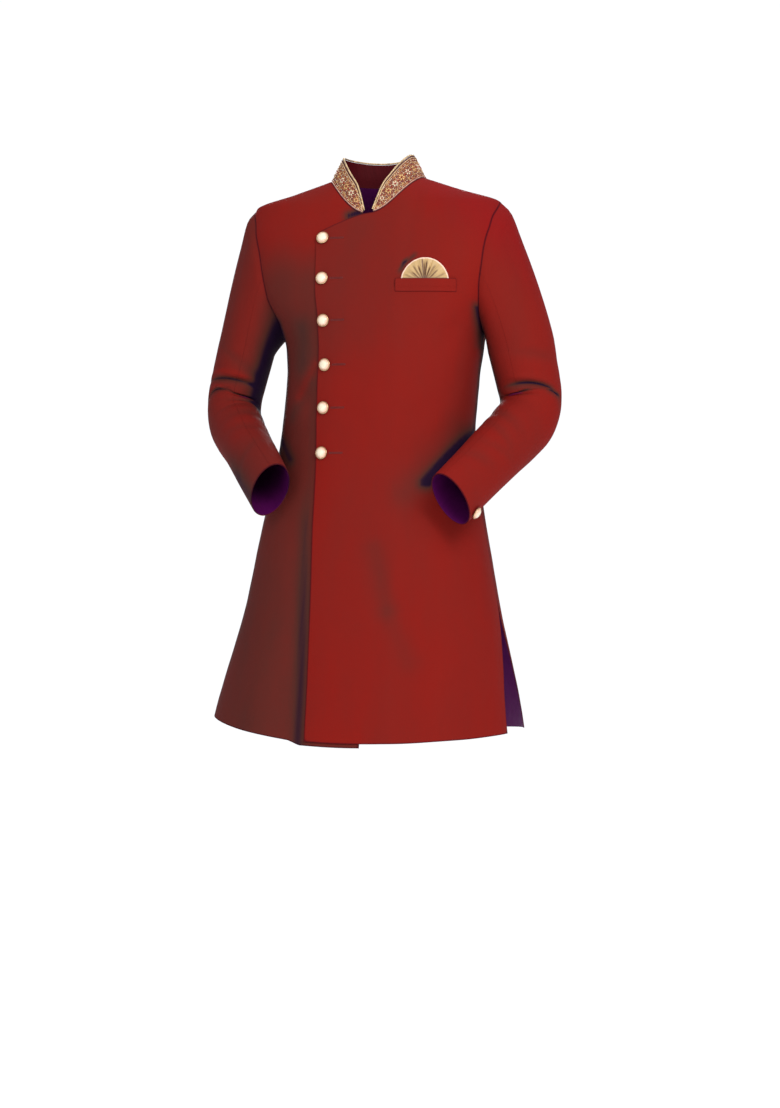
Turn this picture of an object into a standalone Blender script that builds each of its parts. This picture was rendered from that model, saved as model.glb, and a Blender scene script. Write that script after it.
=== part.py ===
"""A knee-length sherwani coat, hollow, in the pose in which it is worn.

Metres, +Z up. The coat faces -Y and the wearer's left is +X. The origin is midway between the
points where the shoulder seams meet the collar. A point of a panel is found from its column
(centre front or centre back to the side) and its row (hem to top edge) on one smooth form.
"""
import bpy
import bmesh
import numpy as np
from mathutils import Vector
from math import acos, asin, atan2, cos, degrees, exp, pi, radians, sin, sqrt, tan
from types import SimpleNamespace

MM = 0.001
SEAM_GAP = 0.3 * MM
WALL = 1.6 * MM
COLLAR_WALL = 2.4 * MM
MITRE_LIMIT = 3.0
SHARP_ANGLE = 50
NORMAL_STEP = 0.4 * MM

# Neck, shoulder and armhole
NECK_HALF_WIDTH = 85 * MM
NECK_DROP_FRONT = 69 * MM
NECK_DROP_BACK = 6 * MM
NECK_ROUNDNESS = 1.15
SHOULDER_TIP_Z = -47 * MM
UNDERARM_Z = -275 * MM
ARMHOLE_REACH = {"front": 74 * MM, "back": 78 * MM}
ARMHOLE_FULLNESS = 1.25
ARMHOLE_LEAN = 0.2

# Closing at the front
LAP = 85 * MM
LAP_EDGE_COLUMNS = ("z", "inset")
LAP_EDGE = {
    "hem": (-1.000, 0.0190),
    "skirt": (-0.880, 0.0145),
    "slit": (-0.740, 0.0105),
    "seat": (-0.600, 0.0095),
    "below_waist": (-0.500, 0.0070),
    "waist": (-0.420, 0.0020),
    "ribs": (-0.350, -0.0015),
    "chest": (-0.270, -0.0030),
    "top": (-0.100, -0.0040),
}
LAP_CORNER_DROP = 35 * MM
LAP_CORNER_RADIUS = 8 * MM
LAP_CURVE = 1.3
UNDERLAP = 32 * MM
UNDERLAP_DROP = 16 * MM
UNDERLAP_HEM_DROP = 6.5 * MM
LAYER_GAP = 0.95 * MM
LAYER_LIFT = WALL + LAYER_GAP
LIFT_ENDS = (52 * MM, 85 * MM)

# Hem and side slits
HEM_Z = {"front": -989 * MM, "back": -984 * MM}
HEM_SIDE_RISE = 22 * MM
HEM_TILT = 8 * MM
SLIT_TOP_Z = -740 * MM
SLIT_BOTTOM_Z = -980 * MM
SLIT_SWING = {"front_left": -9 * MM, "back_left": 13 * MM, "front_right": 18 * MM, "back_right": 8 * MM}
SLIT_PARTING = {"front": 20 * MM, "back": 32 * MM}

# Levels of the body, from the hem up: each row is one horizontal section.
BODY_COLUMNS = ("z", "half_width", "front_y", "back_y", "side_y", "centre_x", "squareness")
BODY = {
    "hem": (-1.000, 0.270, -0.206, 0.176, -0.018, -0.016, 2.15),
    "skirt": (-0.860, 0.247, -0.176, 0.156, -0.014, -0.012, 2.20),
    "slit": (-0.740, 0.2245, -0.157, 0.142, -0.010, -0.009, 2.25),
    "seat": (-0.620, 0.2015, -0.146, 0.132, -0.006, -0.0075, 2.30),
    "below_waist": (-0.530, 0.184, -0.136, 0.117, 0.000, -0.004, 2.30),
    "waist": (-0.440, 0.1725, -0.129, 0.107, 0.004, 0.000, 2.35),
    "ribs": (-0.360, 0.1710, -0.127, 0.115, 0.012, 0.006, 2.45),
    "chest": (-0.300, 0.1755, -0.126, 0.125, 0.017, 0.009, 2.50),
    "underarm": (-0.275, 0.1805, -0.1248, 0.127, 0.016, 0.008, 2.55),
    "armhole_low": (-0.250, 0.1875, -0.1235, 0.128, 0.013, 0.007, 2.65),
    "armhole_middle": (-0.207, 0.2085, -0.119, 0.128, 0.008, 0.003, 2.75),
    "armhole_high": (-0.150, 0.2265, -0.109, 0.122, 0.003, 0.002, 2.80),
    "shoulder_blade": (-0.100, 0.231, -0.093, 0.109, -0.002, 0.000, 2.80),
    "collar_bone": (-0.069, 0.2285, -0.078, 0.098, -0.005, 0.000, 2.60),
    "shoulder_tip": (-0.047, 0.222, -0.069, 0.087, -0.006, 0.000, 2.50),
    "shoulder_middle": (-0.0235, 0.1535, -0.055, 0.071, -0.003, 0.000, 2.45),
    "neck": (0.000, 0.085, -0.036, 0.055, 0.000, 0.000, 2.40),
}

# Soft folds: a line from one (x, z) to another, its half width and its depth (a trough is negative).
FOLD_COLUMNS = ("side", "x_top", "z_top", "x_bottom", "z_bottom", "width", "depth")
FOLDS = {
    "drag_right_front": ("front", -0.150, -0.350, -0.075, -0.430, 0.016, -0.0022),
    "drag_left_front": ("front", 0.150, -0.360, 0.085, -0.450, 0.018, -0.0018),
    "flute_right_front": ("front", -0.165, -0.700, -0.185, -1.000, 0.032, 0.0060),
    "hollow_right_front": ("front", -0.105, -0.740, -0.115, -1.000, 0.030, -0.0045),
    "flute_left_front": ("front", 0.130, -0.700, 0.150, -1.000, 0.034, 0.0050),
    "hollow_left_front": ("front", 0.195, -0.760, 0.205, -1.000, 0.024, -0.0040),
    "waist_back_right": ("back", -0.135, -0.415, -0.040, -0.450, 0.016, -0.0022),
    "waist_back_left": ("back", 0.140, -0.430, 0.050, -0.470, 0.017, -0.0025),
    "flute_back_right": ("back", -0.110, -0.620, -0.135, -1.000, 0.036, 0.0080),
    "hollow_back": ("back", -0.010, -0.640, -0.015, -1.000, 0.040, -0.0065),
    "flute_back_left": ("back", 0.095, -0.600, 0.120, -1.000, 0.038, 0.0075),
}
DRAG_FADE = 0.36
FLUTE_FADE = 1.4

# Arms: the line that each sleeve follows, and its size across the bend (side) and in it (bend).
ARMS = {
    "left": {"shoulder": (0.229, 0.000, -0.160), "elbow": (0.275, 0.034, -0.416),
             "cuff": (0.171, -0.180, -0.572), "outward": 1},
    "right": {"shoulder": (-0.211, 0.000, -0.160), "elbow": (-0.288, 0.036, -0.412),
              "cuff": (-0.151, -0.170, -0.554), "outward": -1},
}
ELBOW_RADIUS = 66 * MM
BICEP_BELOW_SHOULDER = 142 * MM
SLEEVE_COLUMNS = ("place", "left_side", "left_bend", "right_side", "right_bend")
SLEEVE = {
    "bicep": (0.00, 0.0560, 0.0640, 0.0505, 0.0590),
    "upper": (0.16, 0.0540, 0.0600, 0.0490, 0.0560),
    "above_elbow": (0.33, 0.0510, 0.0560, 0.0470, 0.0530),
    "elbow": (0.45, 0.0490, 0.0560, 0.0450, 0.0530),
    "below_elbow": (0.62, 0.0460, 0.0530, 0.0420, 0.0480),
    "forearm": (0.82, 0.0395, 0.0515, 0.0380, 0.0500),
    "cuff": (1.00, 0.0325, 0.0515, 0.0325, 0.0515),
}
HEAD_LEAVES_DOWN = {"tip": 0.85, "underarm": 0.95}
HEAD_REACH = {"start": 0.42, "end": 0.60}
HEAD_RIDGE = 4 * MM
HEAD_RIDGE_AT = 0.16
HEAD_RIDGE_WIDTH = 0.12
SLEEVE_PLACES = (0, 0.055, 0.10, 0.13, 0.155, 0.18, 0.205, 0.23, 0.26, 0.30, 0.35, 0.40, 0.45, 0.50,
                 0.55, 0.61, 0.69, 0.78, 0.87, 0.95, 1)

# Creases of the sleeves: place along it, angle from the outside of the elbow, spread and depth.
CREASE_COLUMNS = ("arm", "place", "angle", "spread", "slope", "length", "depth")
CREASES = {
    "left_upper": ("left", 0.178, 126, 50, -0.038, 0.022, -0.0032),
    "left_lower": ("left", 0.212, 166, 36, 0.042, 0.020, -0.0026),
    "left_elbow": ("left", 0.500, 178, 60, -0.020, 0.034, -0.0028),
    "right_upper": ("right", 0.135, 138, 52, -0.014, 0.022, -0.0032),
    "right_middle": ("right", 0.210, 112, 30, -0.031, 0.020, -0.0026),
    "right_lower": ("right", 0.235, 178, 38, 0.044, 0.020, -0.0030),
    "right_elbow": ("right", 0.495, 184, 60, 0.020, 0.034, -0.0026),
}

# Collar
COLLAR_END_RUN = 30 * MM
COLLAR_END_SHARE = 0.12
COLLAR_TAPER = (0.765, 0.86)
COLLAR_RISE = 40 * MM
PIPING_RADIUS = 1.5 * MM
PIPING_SIDES = 6
PIPING_LIFT = 0.5 * MM

# Buttons
BUTTON_RADIUS = 11 * MM
BUTTON_DOME = 5 * MM
BUTTON_RIM = 1.6 * MM
BUTTON_UNDERSIDE = 0.92
SHANK_RADIUS = 2.5 * MM
SHANK_HEIGHT = 1.8 * MM
BUTTON_SIDES = 12
DOME_STEPS = 3
FRONT_BUTTON_COLUMNS = ("z", "inset")
FRONT_BUTTONS = {
    "first": (-0.1135, 0.0125),
    "second": (-0.1850, 0.0135),
    "third": (-0.2585, 0.0125),
    "fourth": (-0.3360, 0.0145),
    "fifth": (-0.4110, 0.0145),
    "sixth": (-0.4900, 0.0120),
}
CUFF_BUTTON_PLACE = 0.955
CUFF_BUTTON_ANGLE = {"left": 38, "right": -12}

# Breast pocket
WELT_X = (59 * MM, 161 * MM)
WELT_Z = (-0.2115, -0.1890)
WELT_WALL = 1.4 * MM
WELT_STEPS = (8, 4)
SQUARE_CENTRE_X = 109 * MM
SQUARE_HALF_WIDTH = 41 * MM
SQUARE_HEIGHT = 39 * MM
SQUARE_TUCK = 8 * MM
SQUARE_WALL = 1.2 * MM
SQUARE_GATHERS = 9
GATHER_DEPTH = 1.6 * MM
GATHERS_START = 7 * MM
SQUARE_CORE = 0.12
SQUARE_STEPS = (45, 5)

# Grids
ROWS_BELOW_UNDERARM = 14
ROWS_ABOVE_UNDERARM = 11
FRONT_STEPS = 6
SHOULDER_STEPS = 7
NECK_STEPS_X = (10, 14, 20, 29, 46, 62, 75, 85)
HEAD_ROWS = 6
FRONT_SEAM_STEP = 5
BACK_SEAM_STEP = 4
COLLAR_ROWS = 4


def smooth_curve(knots, values):
    """Return a curve through the values that never overshoots between them."""
    knots = np.asarray(knots, float)
    values = np.asarray(values, float)
    gaps = np.diff(knots)
    slopes = np.diff(values) / gaps
    turns = np.zeros(len(knots))
    for k in range(1, len(knots) - 1):
        if slopes[k - 1] * slopes[k] > 0:
            turns[k] = 2 * slopes[k - 1] * slopes[k] / (slopes[k - 1] + slopes[k])
    turns[0] = slopes[0]
    turns[-1] = slopes[-1]

    def at(place):
        k = int(np.clip(np.searchsorted(knots, place) - 1, 0, len(gaps) - 1))
        s = min(max((place - knots[k]) / gaps[k], 0.0), 1.0)
        rise = values[k + 1] - values[k]
        bend = s * (1 - s) * gaps[k]
        return (values[k] + rise * s * s * (3 - 2 * s)
                + bend * ((1 - s) * turns[k] - s * turns[k + 1]))

    return at


def table_curves(table, columns):
    """Turn a table whose first column is the place into one curve for each other column."""
    rows = np.array(list(table.values()), float)
    return {name: smooth_curve(rows[:, 0], rows[:, c]) for c, name in enumerate(columns) if c}


def named_rows(table, columns):
    """Turn a table into rows whose values are read by their columns' names."""
    return [SimpleNamespace(**dict(zip(columns, row))) for row in table.values()]


BODY_CURVES = table_curves(BODY, BODY_COLUMNS)
LAP_INSET = table_curves(LAP_EDGE, LAP_EDGE_COLUMNS)["inset"]
BUTTON_ROWS = named_rows(FRONT_BUTTONS, FRONT_BUTTON_COLUMNS)
SLEEVE_CURVES = table_curves(SLEEVE, SLEEVE_COLUMNS)
FOLD_ROWS = named_rows(FOLDS, FOLD_COLUMNS)
CREASE_ROWS = named_rows(CREASES, CREASE_COLUMNS)


def ease(value):
    """Go smoothly from 0 to 1 as the value does."""
    value = min(max(value, 0.0), 1.0)
    return value * value * (3 - 2 * value)


def mix(first, second, share):
    return first + (second - first) * share


# ---- The form of the body ----

def slit_share(z):
    return ease((SLIT_TOP_Z - z) / (SLIT_TOP_Z - SLIT_BOTTOM_Z)) if z < SLIT_TOP_Z else 0.0


def half_width(side, hand, z):
    """Half the width of the section, with the swing of the panels beside the open slits."""
    swing = SLIT_SWING[side + ("_left" if hand > 0 else "_right")]
    return BODY_CURVES["half_width"](z) + swing * slit_share(z)


def hand_of(x, z):
    return 1 if x >= BODY_CURVES["centre_x"](z) else -1


def depth(side, z):
    return abs(BODY_CURVES[side + "_y"](z) - BODY_CURVES["side_y"](z))


def armhole_edge_y(side, z):
    """How far the armhole seam lies before or behind the side line at this height."""
    rise = min(max((z - UNDERARM_Z) / (SHOULDER_TIP_Z - UNDERARM_Z), 0.0), 1.0)
    turn = acos(1 - 2 * rise)
    fullness = abs(sin(turn)) ** ARMHOLE_FULLNESS * (1 - ARMHOLE_LEAN * cos(pi - turn))
    return ARMHOLE_REACH[side] * fullness


def edge_turn(side, z):
    """The angle round the section at which a panel ends: its side seam, slit or armhole."""
    inset = SLIT_PARTING[side] * slit_share(z)
    if z > UNDERARM_Z:
        inset = armhole_edge_y(side, z)
    share = min(inset / depth(side, z), 1.0)
    return acos(share ** (BODY_CURVES["squareness"](z) / 2))


def neck_column(x):
    """The column that reaches the neckline at this distance from the centre line."""
    width = half_width("front", 1, SHOULDER_TIP_Z)
    return asin((x / width) ** (BODY_CURVES["squareness"](SHOULDER_TIP_Z) / 2)) / (pi / 2)


def level_x(side, hand, column, z):
    """The x of a column that keeps its share of the angle round this section."""
    power = 2 / BODY_CURVES["squareness"](z)
    turn = column * edge_turn(side, z)
    return BODY_CURVES["centre_x"](z) + hand * half_width(side, hand, z) * sin(turn) ** power


def column_x(side, hand, column, reach, z):
    """The x of a column: -1 is the lap's edge, 0 the centre line, 1 the side or armhole."""
    z = min(z, SHOULDER_TIP_Z)
    if column < 0:
        inset = LAP_INSET(z) if reach == LAP else 0.0
        return BODY_CURVES["centre_x"](z) + hand * column * (reach - inset)
    rise = ease((z - UNDERARM_Z) / (-NECK_DROP_FRONT - UNDERARM_Z))
    neck = neck_column(NECK_HALF_WIDTH)
    upright = rise * (1 - max(column - neck, 0) / (1 - neck))
    return mix(level_x(side, hand, column, z), level_x(side, hand, column, SHOULDER_TIP_Z), upright)


def form_point(side, x, z):
    """The point of the form at this x and height, on its front or its back."""
    power = BODY_CURVES["squareness"](z)
    width = half_width(side, hand_of(x, z), z)
    share = min(abs(x - BODY_CURVES["centre_x"](z)) / width, 1.0)
    reach = depth(side, z) * (1 - share ** power) ** (1 / power)
    return Vector((x, BODY_CURVES["side_y"](z) + (reach if side == "back" else -reach), z))


def form_measure(side, point):
    power = BODY_CURVES["squareness"](point.z)
    width = half_width(side, hand_of(point.x, point.z), point.z)
    across = abs(point.x - BODY_CURVES["centre_x"](point.z)) / width
    along = abs(point.y - BODY_CURVES["side_y"](point.z)) / depth(side, point.z)
    return across ** power + along ** power


def form_normal(side, point):
    """The outward direction of the form, from how its measure grows in x, y and z."""
    grows = Vector()
    for axis in range(3):
        shift = Vector()
        shift[axis] = NORMAL_STEP
        grows[axis] = form_measure(side, point + shift) - form_measure(side, point - shift)
    return grows.normalized()


def fold_height(side, x, z):
    """The sum of the soft folds at this place of the front or the back."""
    total = 0.0
    for fold in FOLD_ROWS:
        if fold.side != side:
            continue
        run = Vector((fold.x_bottom - fold.x_top, fold.z_bottom - fold.z_top))
        offset = Vector((x - fold.x_top, z - fold.z_top))
        place = offset.dot(run) / run.length_squared
        away = abs(offset.x * run.y - offset.y * run.x) / run.length
        if fold.z_bottom > SLIT_BOTTOM_Z:
            fade = exp(-((place - 0.5) / DRAG_FADE) ** 4)
        else:
            fade = ease(place * FLUTE_FADE)
        total += fold.depth * fade * exp(-(away / fold.width) ** 2)
    return total


# ---- Top edges and hem ----

def shoulder_z(x):
    """The height of the shoulder seam at this x."""
    low, high = SHOULDER_TIP_Z, 0.0
    for _ in range(30):
        middle = (low + high) / 2
        if half_width("front", 1, middle) > abs(x):
            low = middle
        else:
            high = middle
    return (low + high) / 2


def neckline_z(side, x):
    drop = NECK_DROP_FRONT if side == "front" else NECK_DROP_BACK
    return -drop * cos(pi / 2 * min(abs(x) / NECK_HALF_WIDTH, 1.0)) ** NECK_ROUNDNESS


def top_z(side, column, reach, x):
    """The height of a panel's top edge: the lap's shaped end, the neckline or the shoulder."""
    if column < 0 and reach == LAP:
        fall = LAP_CORNER_DROP * abs(column) ** LAP_CURVE
        from_edge = (1 + column) * reach
        inside = max(LAP_CORNER_RADIUS - from_edge, 0.0)
        corner = LAP_CORNER_RADIUS - sqrt(LAP_CORNER_RADIUS ** 2 - inside ** 2)
        return -NECK_DROP_FRONT - fall - corner
    if column < 0:
        return -NECK_DROP_FRONT - UNDERLAP_DROP * abs(column)
    if abs(x) <= NECK_HALF_WIDTH:
        return neckline_z(side, x)
    return shoulder_z(x)


def hem_z(side, x, under):
    share = x / BODY["hem"][1]
    hem = HEM_Z[side] + HEM_SIDE_RISE * share ** 2 - HEM_TILT * share * abs(share)
    if under:
        hem -= UNDERLAP_HEM_DROP * ease((x + 120 * MM) / (30 * MM))
    return hem


# ---- Walls ----

def grid_index(bm_verts, columns, rows):
    """Read the vertices of a fresh grid, which spans -1 to 1 in x and y, as [column][row]."""
    table = [[None] * rows for _ in range(columns)]
    for vert in bm_verts:
        column = round((vert.co.x + 1) / 2 * (columns - 1))
        row = round((vert.co.y + 1) / 2 * (rows - 1))
        table[column][row] = vert
    return table


def wall_mesh(name, outer, inner):
    """Make a closed wall from two grids of points and the rim that joins their edges."""
    columns, rows = len(outer), len(outer[0])
    bm = bmesh.new()
    faces = []
    for points in (outer, inner):
        made = bmesh.ops.create_grid(bm, x_segments=columns - 1, y_segments=rows - 1, size=1)
        table = grid_index(made["verts"], columns, rows)
        for c in range(columns):
            for r in range(rows):
                table[c][r].co = points[c][r]
        faces.append(table)
    around = [(c, 0) for c in range(columns - 1)]
    around += [(columns - 1, r) for r in range(rows - 1)]
    around += [(c, rows - 1) for c in range(columns - 1, 0, -1)]
    around += [(0, r) for r in range(rows - 1, 0, -1)]
    for here, there in zip(around, around[1:] + around[:1]):
        bm.faces.new([faces[0][here[0]][here[1]], faces[0][there[0]][there[1]],
                      faces[1][there[0]][there[1]], faces[1][here[0]][here[1]]])
    bmesh.ops.recalc_face_normals(bm, faces=bm.faces)
    mesh = bpy.data.meshes.new(name)
    bm.to_mesh(mesh)
    bm.free()
    mesh.shade_smooth()
    mesh.set_sharp_from_angle(angle=radians(SHARP_ANGLE))
    return mesh


def mitre(first_normal, leaving, along, sign, wall=WALL):
    """Where two walls meet at a seam: the step to the inner edge, and the way across the seam."""
    second_normal = sign * leaving.cross(along).normalized()
    middle = (first_normal + second_normal).normalized()
    step = -middle * wall / max(middle.dot(first_normal), 1 / MITRE_LIMIT)
    across = (leaving - middle * leaving.dot(middle)).normalized()
    return step, across, second_normal


def add_object(name, mesh, material):
    piece = bpy.data.objects.new(name, mesh)
    bpy.context.scene.collection.objects.link(piece)
    mesh.materials.append(material)
    return piece


# ---- Panels of the body ----

def side_columns(neck_steps):
    neck = [neck_column(x * MM) for x in neck_steps]
    shoulder = [mix(neck[-1], 1.0, k / SHOULDER_STEPS) for k in range(1, SHOULDER_STEPS + 1)]
    return neck + shoulder


def front_columns(reach):
    if reach == LAP:
        from_edge = [0, 0.15, 0.45, 1.0]
        lap = [-1 + share * LAP_CORNER_RADIUS / reach for share in from_edge]
        lap += [mix(lap[-1], 0, k / FRONT_STEPS) for k in range(1, FRONT_STEPS)]
    else:
        lap = [-1 + k / 4 for k in range(4)]
    return lap + [0.0] + side_columns(NECK_STEPS_X)


def back_columns():
    half = side_columns(NECK_STEPS_X[3:])
    return [-c for c in reversed(half)] + [0.0] + half


def row_heights(low, top):
    """Heights of a column's rows: even below the underarm, and as an arc above it."""
    below = [mix(low, UNDERARM_Z, k / ROWS_BELOW_UNDERARM) for k in range(ROWS_BELOW_UNDERARM)]
    steps = range(ROWS_ABOVE_UNDERARM + 1)
    return below + [mix(UNDERARM_Z, top, (1 - cos(pi * k / ROWS_ABOVE_UNDERARM)) / 2) for k in steps]


def layer_lift(x):
    return LAYER_LIFT * (1 - ease((x - LIFT_ENDS[0]) / (LIFT_ENDS[1] - LIFT_ENDS[0])))


def cloth_point(side, x, z, lifted):
    """A point of the outer face, with its folds, and the form's normal there."""
    point = form_point(side, x, z)
    normal = form_normal(side, point)
    rise = fold_height(side, x, z)
    if lifted:
        rise += layer_lift(x)
    return point + normal * rise, normal


def armhole_loop(hand):
    """The armhole seam, from the underarm up the front and down the back."""
    steps = ROWS_ABOVE_UNDERARM
    places = [("front", k) for k in range(steps + 1)]
    places += [("back", k) for k in range(steps - 1, 0, -1)]
    spots = []
    for side, k in places:
        z = mix(UNDERARM_Z, SHOULDER_TIP_Z, (1 - cos(pi * k / steps)) / 2)
        x = column_x(side, hand, 1.0, LAP, z)
        spots.append((*cloth_point(side, x, z, False), k / steps))
    loop = []
    for j, (point, normal, share) in enumerate(spots):
        along = (spots[(j + 1) % len(spots)][0] - spots[j - 1][0]).normalized()
        height = (1 - cos(pi * share)) / 2
        down = mix(HEAD_LEAVES_DOWN["underarm"], HEAD_LEAVES_DOWN["tip"], height)
        leaving = Vector((hand, 0, -down)).normalized()
        step, across, sleeve_normal = mitre(normal, leaving, along, hand)
        loop.append({"point": point, "step": step, "across": across, "leaving": leaving,
                     "normal": sleeve_normal, "height": height})
    return loop


def collar_loop():
    """The neckline seam, from the left front end round the back to the right front end."""
    places = [("front", 1, x) for x in NECK_STEPS_X]
    places += [("back", 1, x) for x in reversed(NECK_STEPS_X[3:-1])] + [("back", 1, 0)]
    places += [("back", -1, x) for x in NECK_STEPS_X[3:-1]]
    places += [("front", -1, x) for x in reversed(NECK_STEPS_X)]
    spots = []
    for side, hand, x in places:
        x = hand * x * MM
        spots.append((*cloth_point(side, x, neckline_z(side, x), side == "front" and hand > 0), side))
    loop = []
    for j, (point, normal, side) in enumerate(spots):
        along = (spots[min(j + 1, len(spots) - 1)][0] - spots[max(j - 1, 0)][0]).normalized()
        top = Vector((point.x * COLLAR_TAPER[0], point.y * COLLAR_TAPER[1], point.z + COLLAR_RISE))
        leaving = (top - point).normalized()
        step, across, collar_normal = mitre(normal, leaving, along, -1, WALL)
        loop.append({"point": point, "step": step, "across": across, "top": top,
                     "normal": collar_normal, "side": side})
    return loop


def find_step(loop, point):
    """The inner step that the seam has at this point, if the point is on the seam."""
    for spot in loop:
        if (spot["point"] - point).length < 0.02 * MM:
            return spot["step"]
    return None


def panel(name, side, hand, columns, reach, lifted, loops, material):
    """Make one panel of the body, set half a seam gap to the front or the back."""
    outer, inner = [], []
    shift = Vector((0, (SEAM_GAP if side == "back" else -SEAM_GAP) / 2, 0))
    for column in columns:
        turned = hand if side == "front" else (1 if column >= 0 else -1)
        place = column if side == "front" else abs(column)
        low_x = column_x(side, turned, place, reach, HEM_Z[side])
        top_x = column_x(side, turned, place, reach, SHOULDER_TIP_Z)
        low = hem_z(side, low_x, reach == UNDERLAP)
        heights = row_heights(low, top_z(side, place, reach, top_x))
        outer_line, inner_line = [], []
        for z in heights:
            x = column_x(side, turned, place, reach, z)
            point, normal = cloth_point(side, x, z, lifted)
            step = find_step(loops, point) or -normal * WALL
            outer_line.append(point + shift)
            inner_line.append(point + step + shift)
        outer.append(outer_line)
        inner.append(inner_line)
    return add_object(name, wall_mesh(name, outer, inner), material)


# ---- Sleeves ----

class Arm:
    """The bent line that a sleeve follows: straight, round the elbow, straight."""

    def __init__(self, name):
        sizes = ARMS[name]
        self.name = name
        self.hand = sizes["outward"]
        self.shoulder = Vector(sizes["shoulder"])
        elbow = Vector(sizes["elbow"])
        cuff = Vector(sizes["cuff"])
        self.upper = (elbow - self.shoulder).normalized()
        self.lower = (cuff - elbow).normalized()
        self.bend = self.upper.angle(self.lower)
        self.side = (self.upper.cross(self.lower) * -self.hand).normalized()
        cut = ELBOW_RADIUS * tan(self.bend / 2)
        self.first = (elbow - self.shoulder).length - cut - BICEP_BELOW_SHOULDER
        self.arc = ELBOW_RADIUS * self.bend
        self.last = (cuff - elbow).length - cut
        self.start = self.shoulder + self.upper * BICEP_BELOW_SHOULDER
        self.outside = (self.upper * cos(self.bend) - self.lower).normalized()

    def frame(self, place):
        """Centre, direction and outside direction at this share of the length."""
        run = place * (self.first + self.arc + self.last)
        if run <= self.first:
            return self.start + self.upper * run, self.upper, self.outside
        turn = min((run - self.first) / ELBOW_RADIUS, self.bend)
        hub = self.start + self.upper * self.first - self.outside * ELBOW_RADIUS
        outside = self.outside * cos(turn) + self.upper * sin(turn)
        ahead = self.upper * cos(turn) - self.outside * sin(turn)
        centre = hub + outside * ELBOW_RADIUS
        if turn == self.bend:
            centre = centre + ahead * (run - self.first - self.arc)
        return centre, ahead, outside

    def point(self, place, angle):
        """A point of the sleeve's outer face, with its creases."""
        centre, _, outside = self.frame(place)
        side_size = SLEEVE_CURVES[self.name + "_side"](place)
        bend_size = SLEEVE_CURVES[self.name + "_bend"](place)
        spoke = outside * cos(angle) * bend_size + self.side * sin(angle) * side_size
        return centre + spoke + spoke.normalized() * crease_height(self.name, place, angle)

    def tip_angle(self):
        outward = Vector((self.hand, 0, 0))
        return atan2(outward.dot(self.side), outward.dot(self.outside))


def crease_height(arm, place, angle):
    """The sum of the creases at this place of a sleeve, which run partly round it."""
    total = 0.0
    for crease in CREASE_ROWS:
        if crease.arm != arm:
            continue
        away = (degrees(angle) - crease.angle + 180) % 360 - 180
        along = place - crease.place - crease.slope * away / crease.spread
        total += crease.depth * exp(-(along / crease.length) ** 2 - (away / crease.spread) ** 2)
    return total


def sleeve_grid(arm):
    """Outer and inner points of the whole sleeve, as [step round it][row along it]."""
    loop = armhole_loop(arm.hand)
    half = ROWS_ABOVE_UNDERARM
    outer = []
    for j, seam in enumerate(loop):
        angle = arm.tip_angle() + pi * (1 - j / half)
        start = seam["point"] + seam["across"] * SEAM_GAP
        end = arm.point(0, angle)
        reach = (end - start).length
        out_start = seam["leaving"] * reach * HEAD_REACH["start"]
        out_end = arm.upper * reach * HEAD_REACH["end"]
        line = []
        for k in range(HEAD_ROWS):
            s = k / HEAD_ROWS
            point = (start * (1 + 2 * s) * (1 - s) ** 2 + out_start * s * (1 - s) ** 2
                     + end * s * s * (3 - 2 * s) - out_end * s * s * (1 - s))
            ridge = exp(-((s - HEAD_RIDGE_AT) / HEAD_RIDGE_WIDTH) ** 2) * ease(s / HEAD_RIDGE_AT)
            line.append(point + seam["normal"] * HEAD_RIDGE * ridge * seam["height"] ** 2)
        outer.append(line + [arm.point(place, angle) for place in SLEEVE_PLACES])
    count, rows = len(outer), len(outer[0])
    inner = []
    for j in range(count):
        line = [outer[j][0] + loop[j]["step"]]
        for r in range(1, rows):
            round_it = outer[(j + 1) % count][r] - outer[j - 1][r]
            along = outer[j][min(r + 1, rows - 1)] - outer[j][r - 1]
            normal = arm.hand * along.cross(round_it).normalized()
            line.append(outer[j][r] - normal * WALL)
        inner.append(line)
    return outer, inner


def sleeve_piece(name, grid, first, last, material):
    """Make the piece of the sleeve between two of its seams."""
    count = len(grid[0])
    outer, inner = ([[point.copy() for point in points[j % count]] for j in range(first, last + 1)]
                    for points in grid)
    for edge, ends in ((0, (first - 1, first + 1)), (-1, (last + 1, last - 1))):
        for r, point in enumerate(outer[edge]):
            inward = grid[0][ends[1] % count][r] - grid[0][ends[0] % count][r]
            shift = inward.normalized() * SEAM_GAP / 2
            outer[edge][r] = point + shift
            inner[edge][r] = inner[edge][r] + shift
    return add_object(name, wall_mesh(name, outer, inner), material)


# ---- Collar and its piping ----

def collar_share(point, side):
    """How much of its full height the collar has here: its front ends are rounded away."""
    if side == "back":
        return 1.0
    run = (abs(point.x) - NECK_STEPS_X[0] * MM) / COLLAR_END_RUN
    return mix(1.0, COLLAR_END_SHARE, (1 - min(max(run, 0.0), 1.0)) ** 2)


def collar_grid():
    outer, inner = [], []
    for spot in collar_loop():
        base = spot["point"] + spot["across"] * SEAM_GAP
        share = collar_share(spot["point"], spot["side"])
        rise = (spot["top"] - spot["point"]) * share
        outer_line, inner_line = [], []
        for r in range(COLLAR_ROWS + 1):
            up = r / COLLAR_ROWS
            wall = mix(WALL, COLLAR_WALL, ease(up * 2))
            point = base + rise * up
            outer_line.append(point)
            step = spot["step"] if r == 0 else -spot["normal"] * wall
            inner_line.append(point + step)
        outer.append(outer_line)
        inner.append(inner_line)
    return outer, inner


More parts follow.
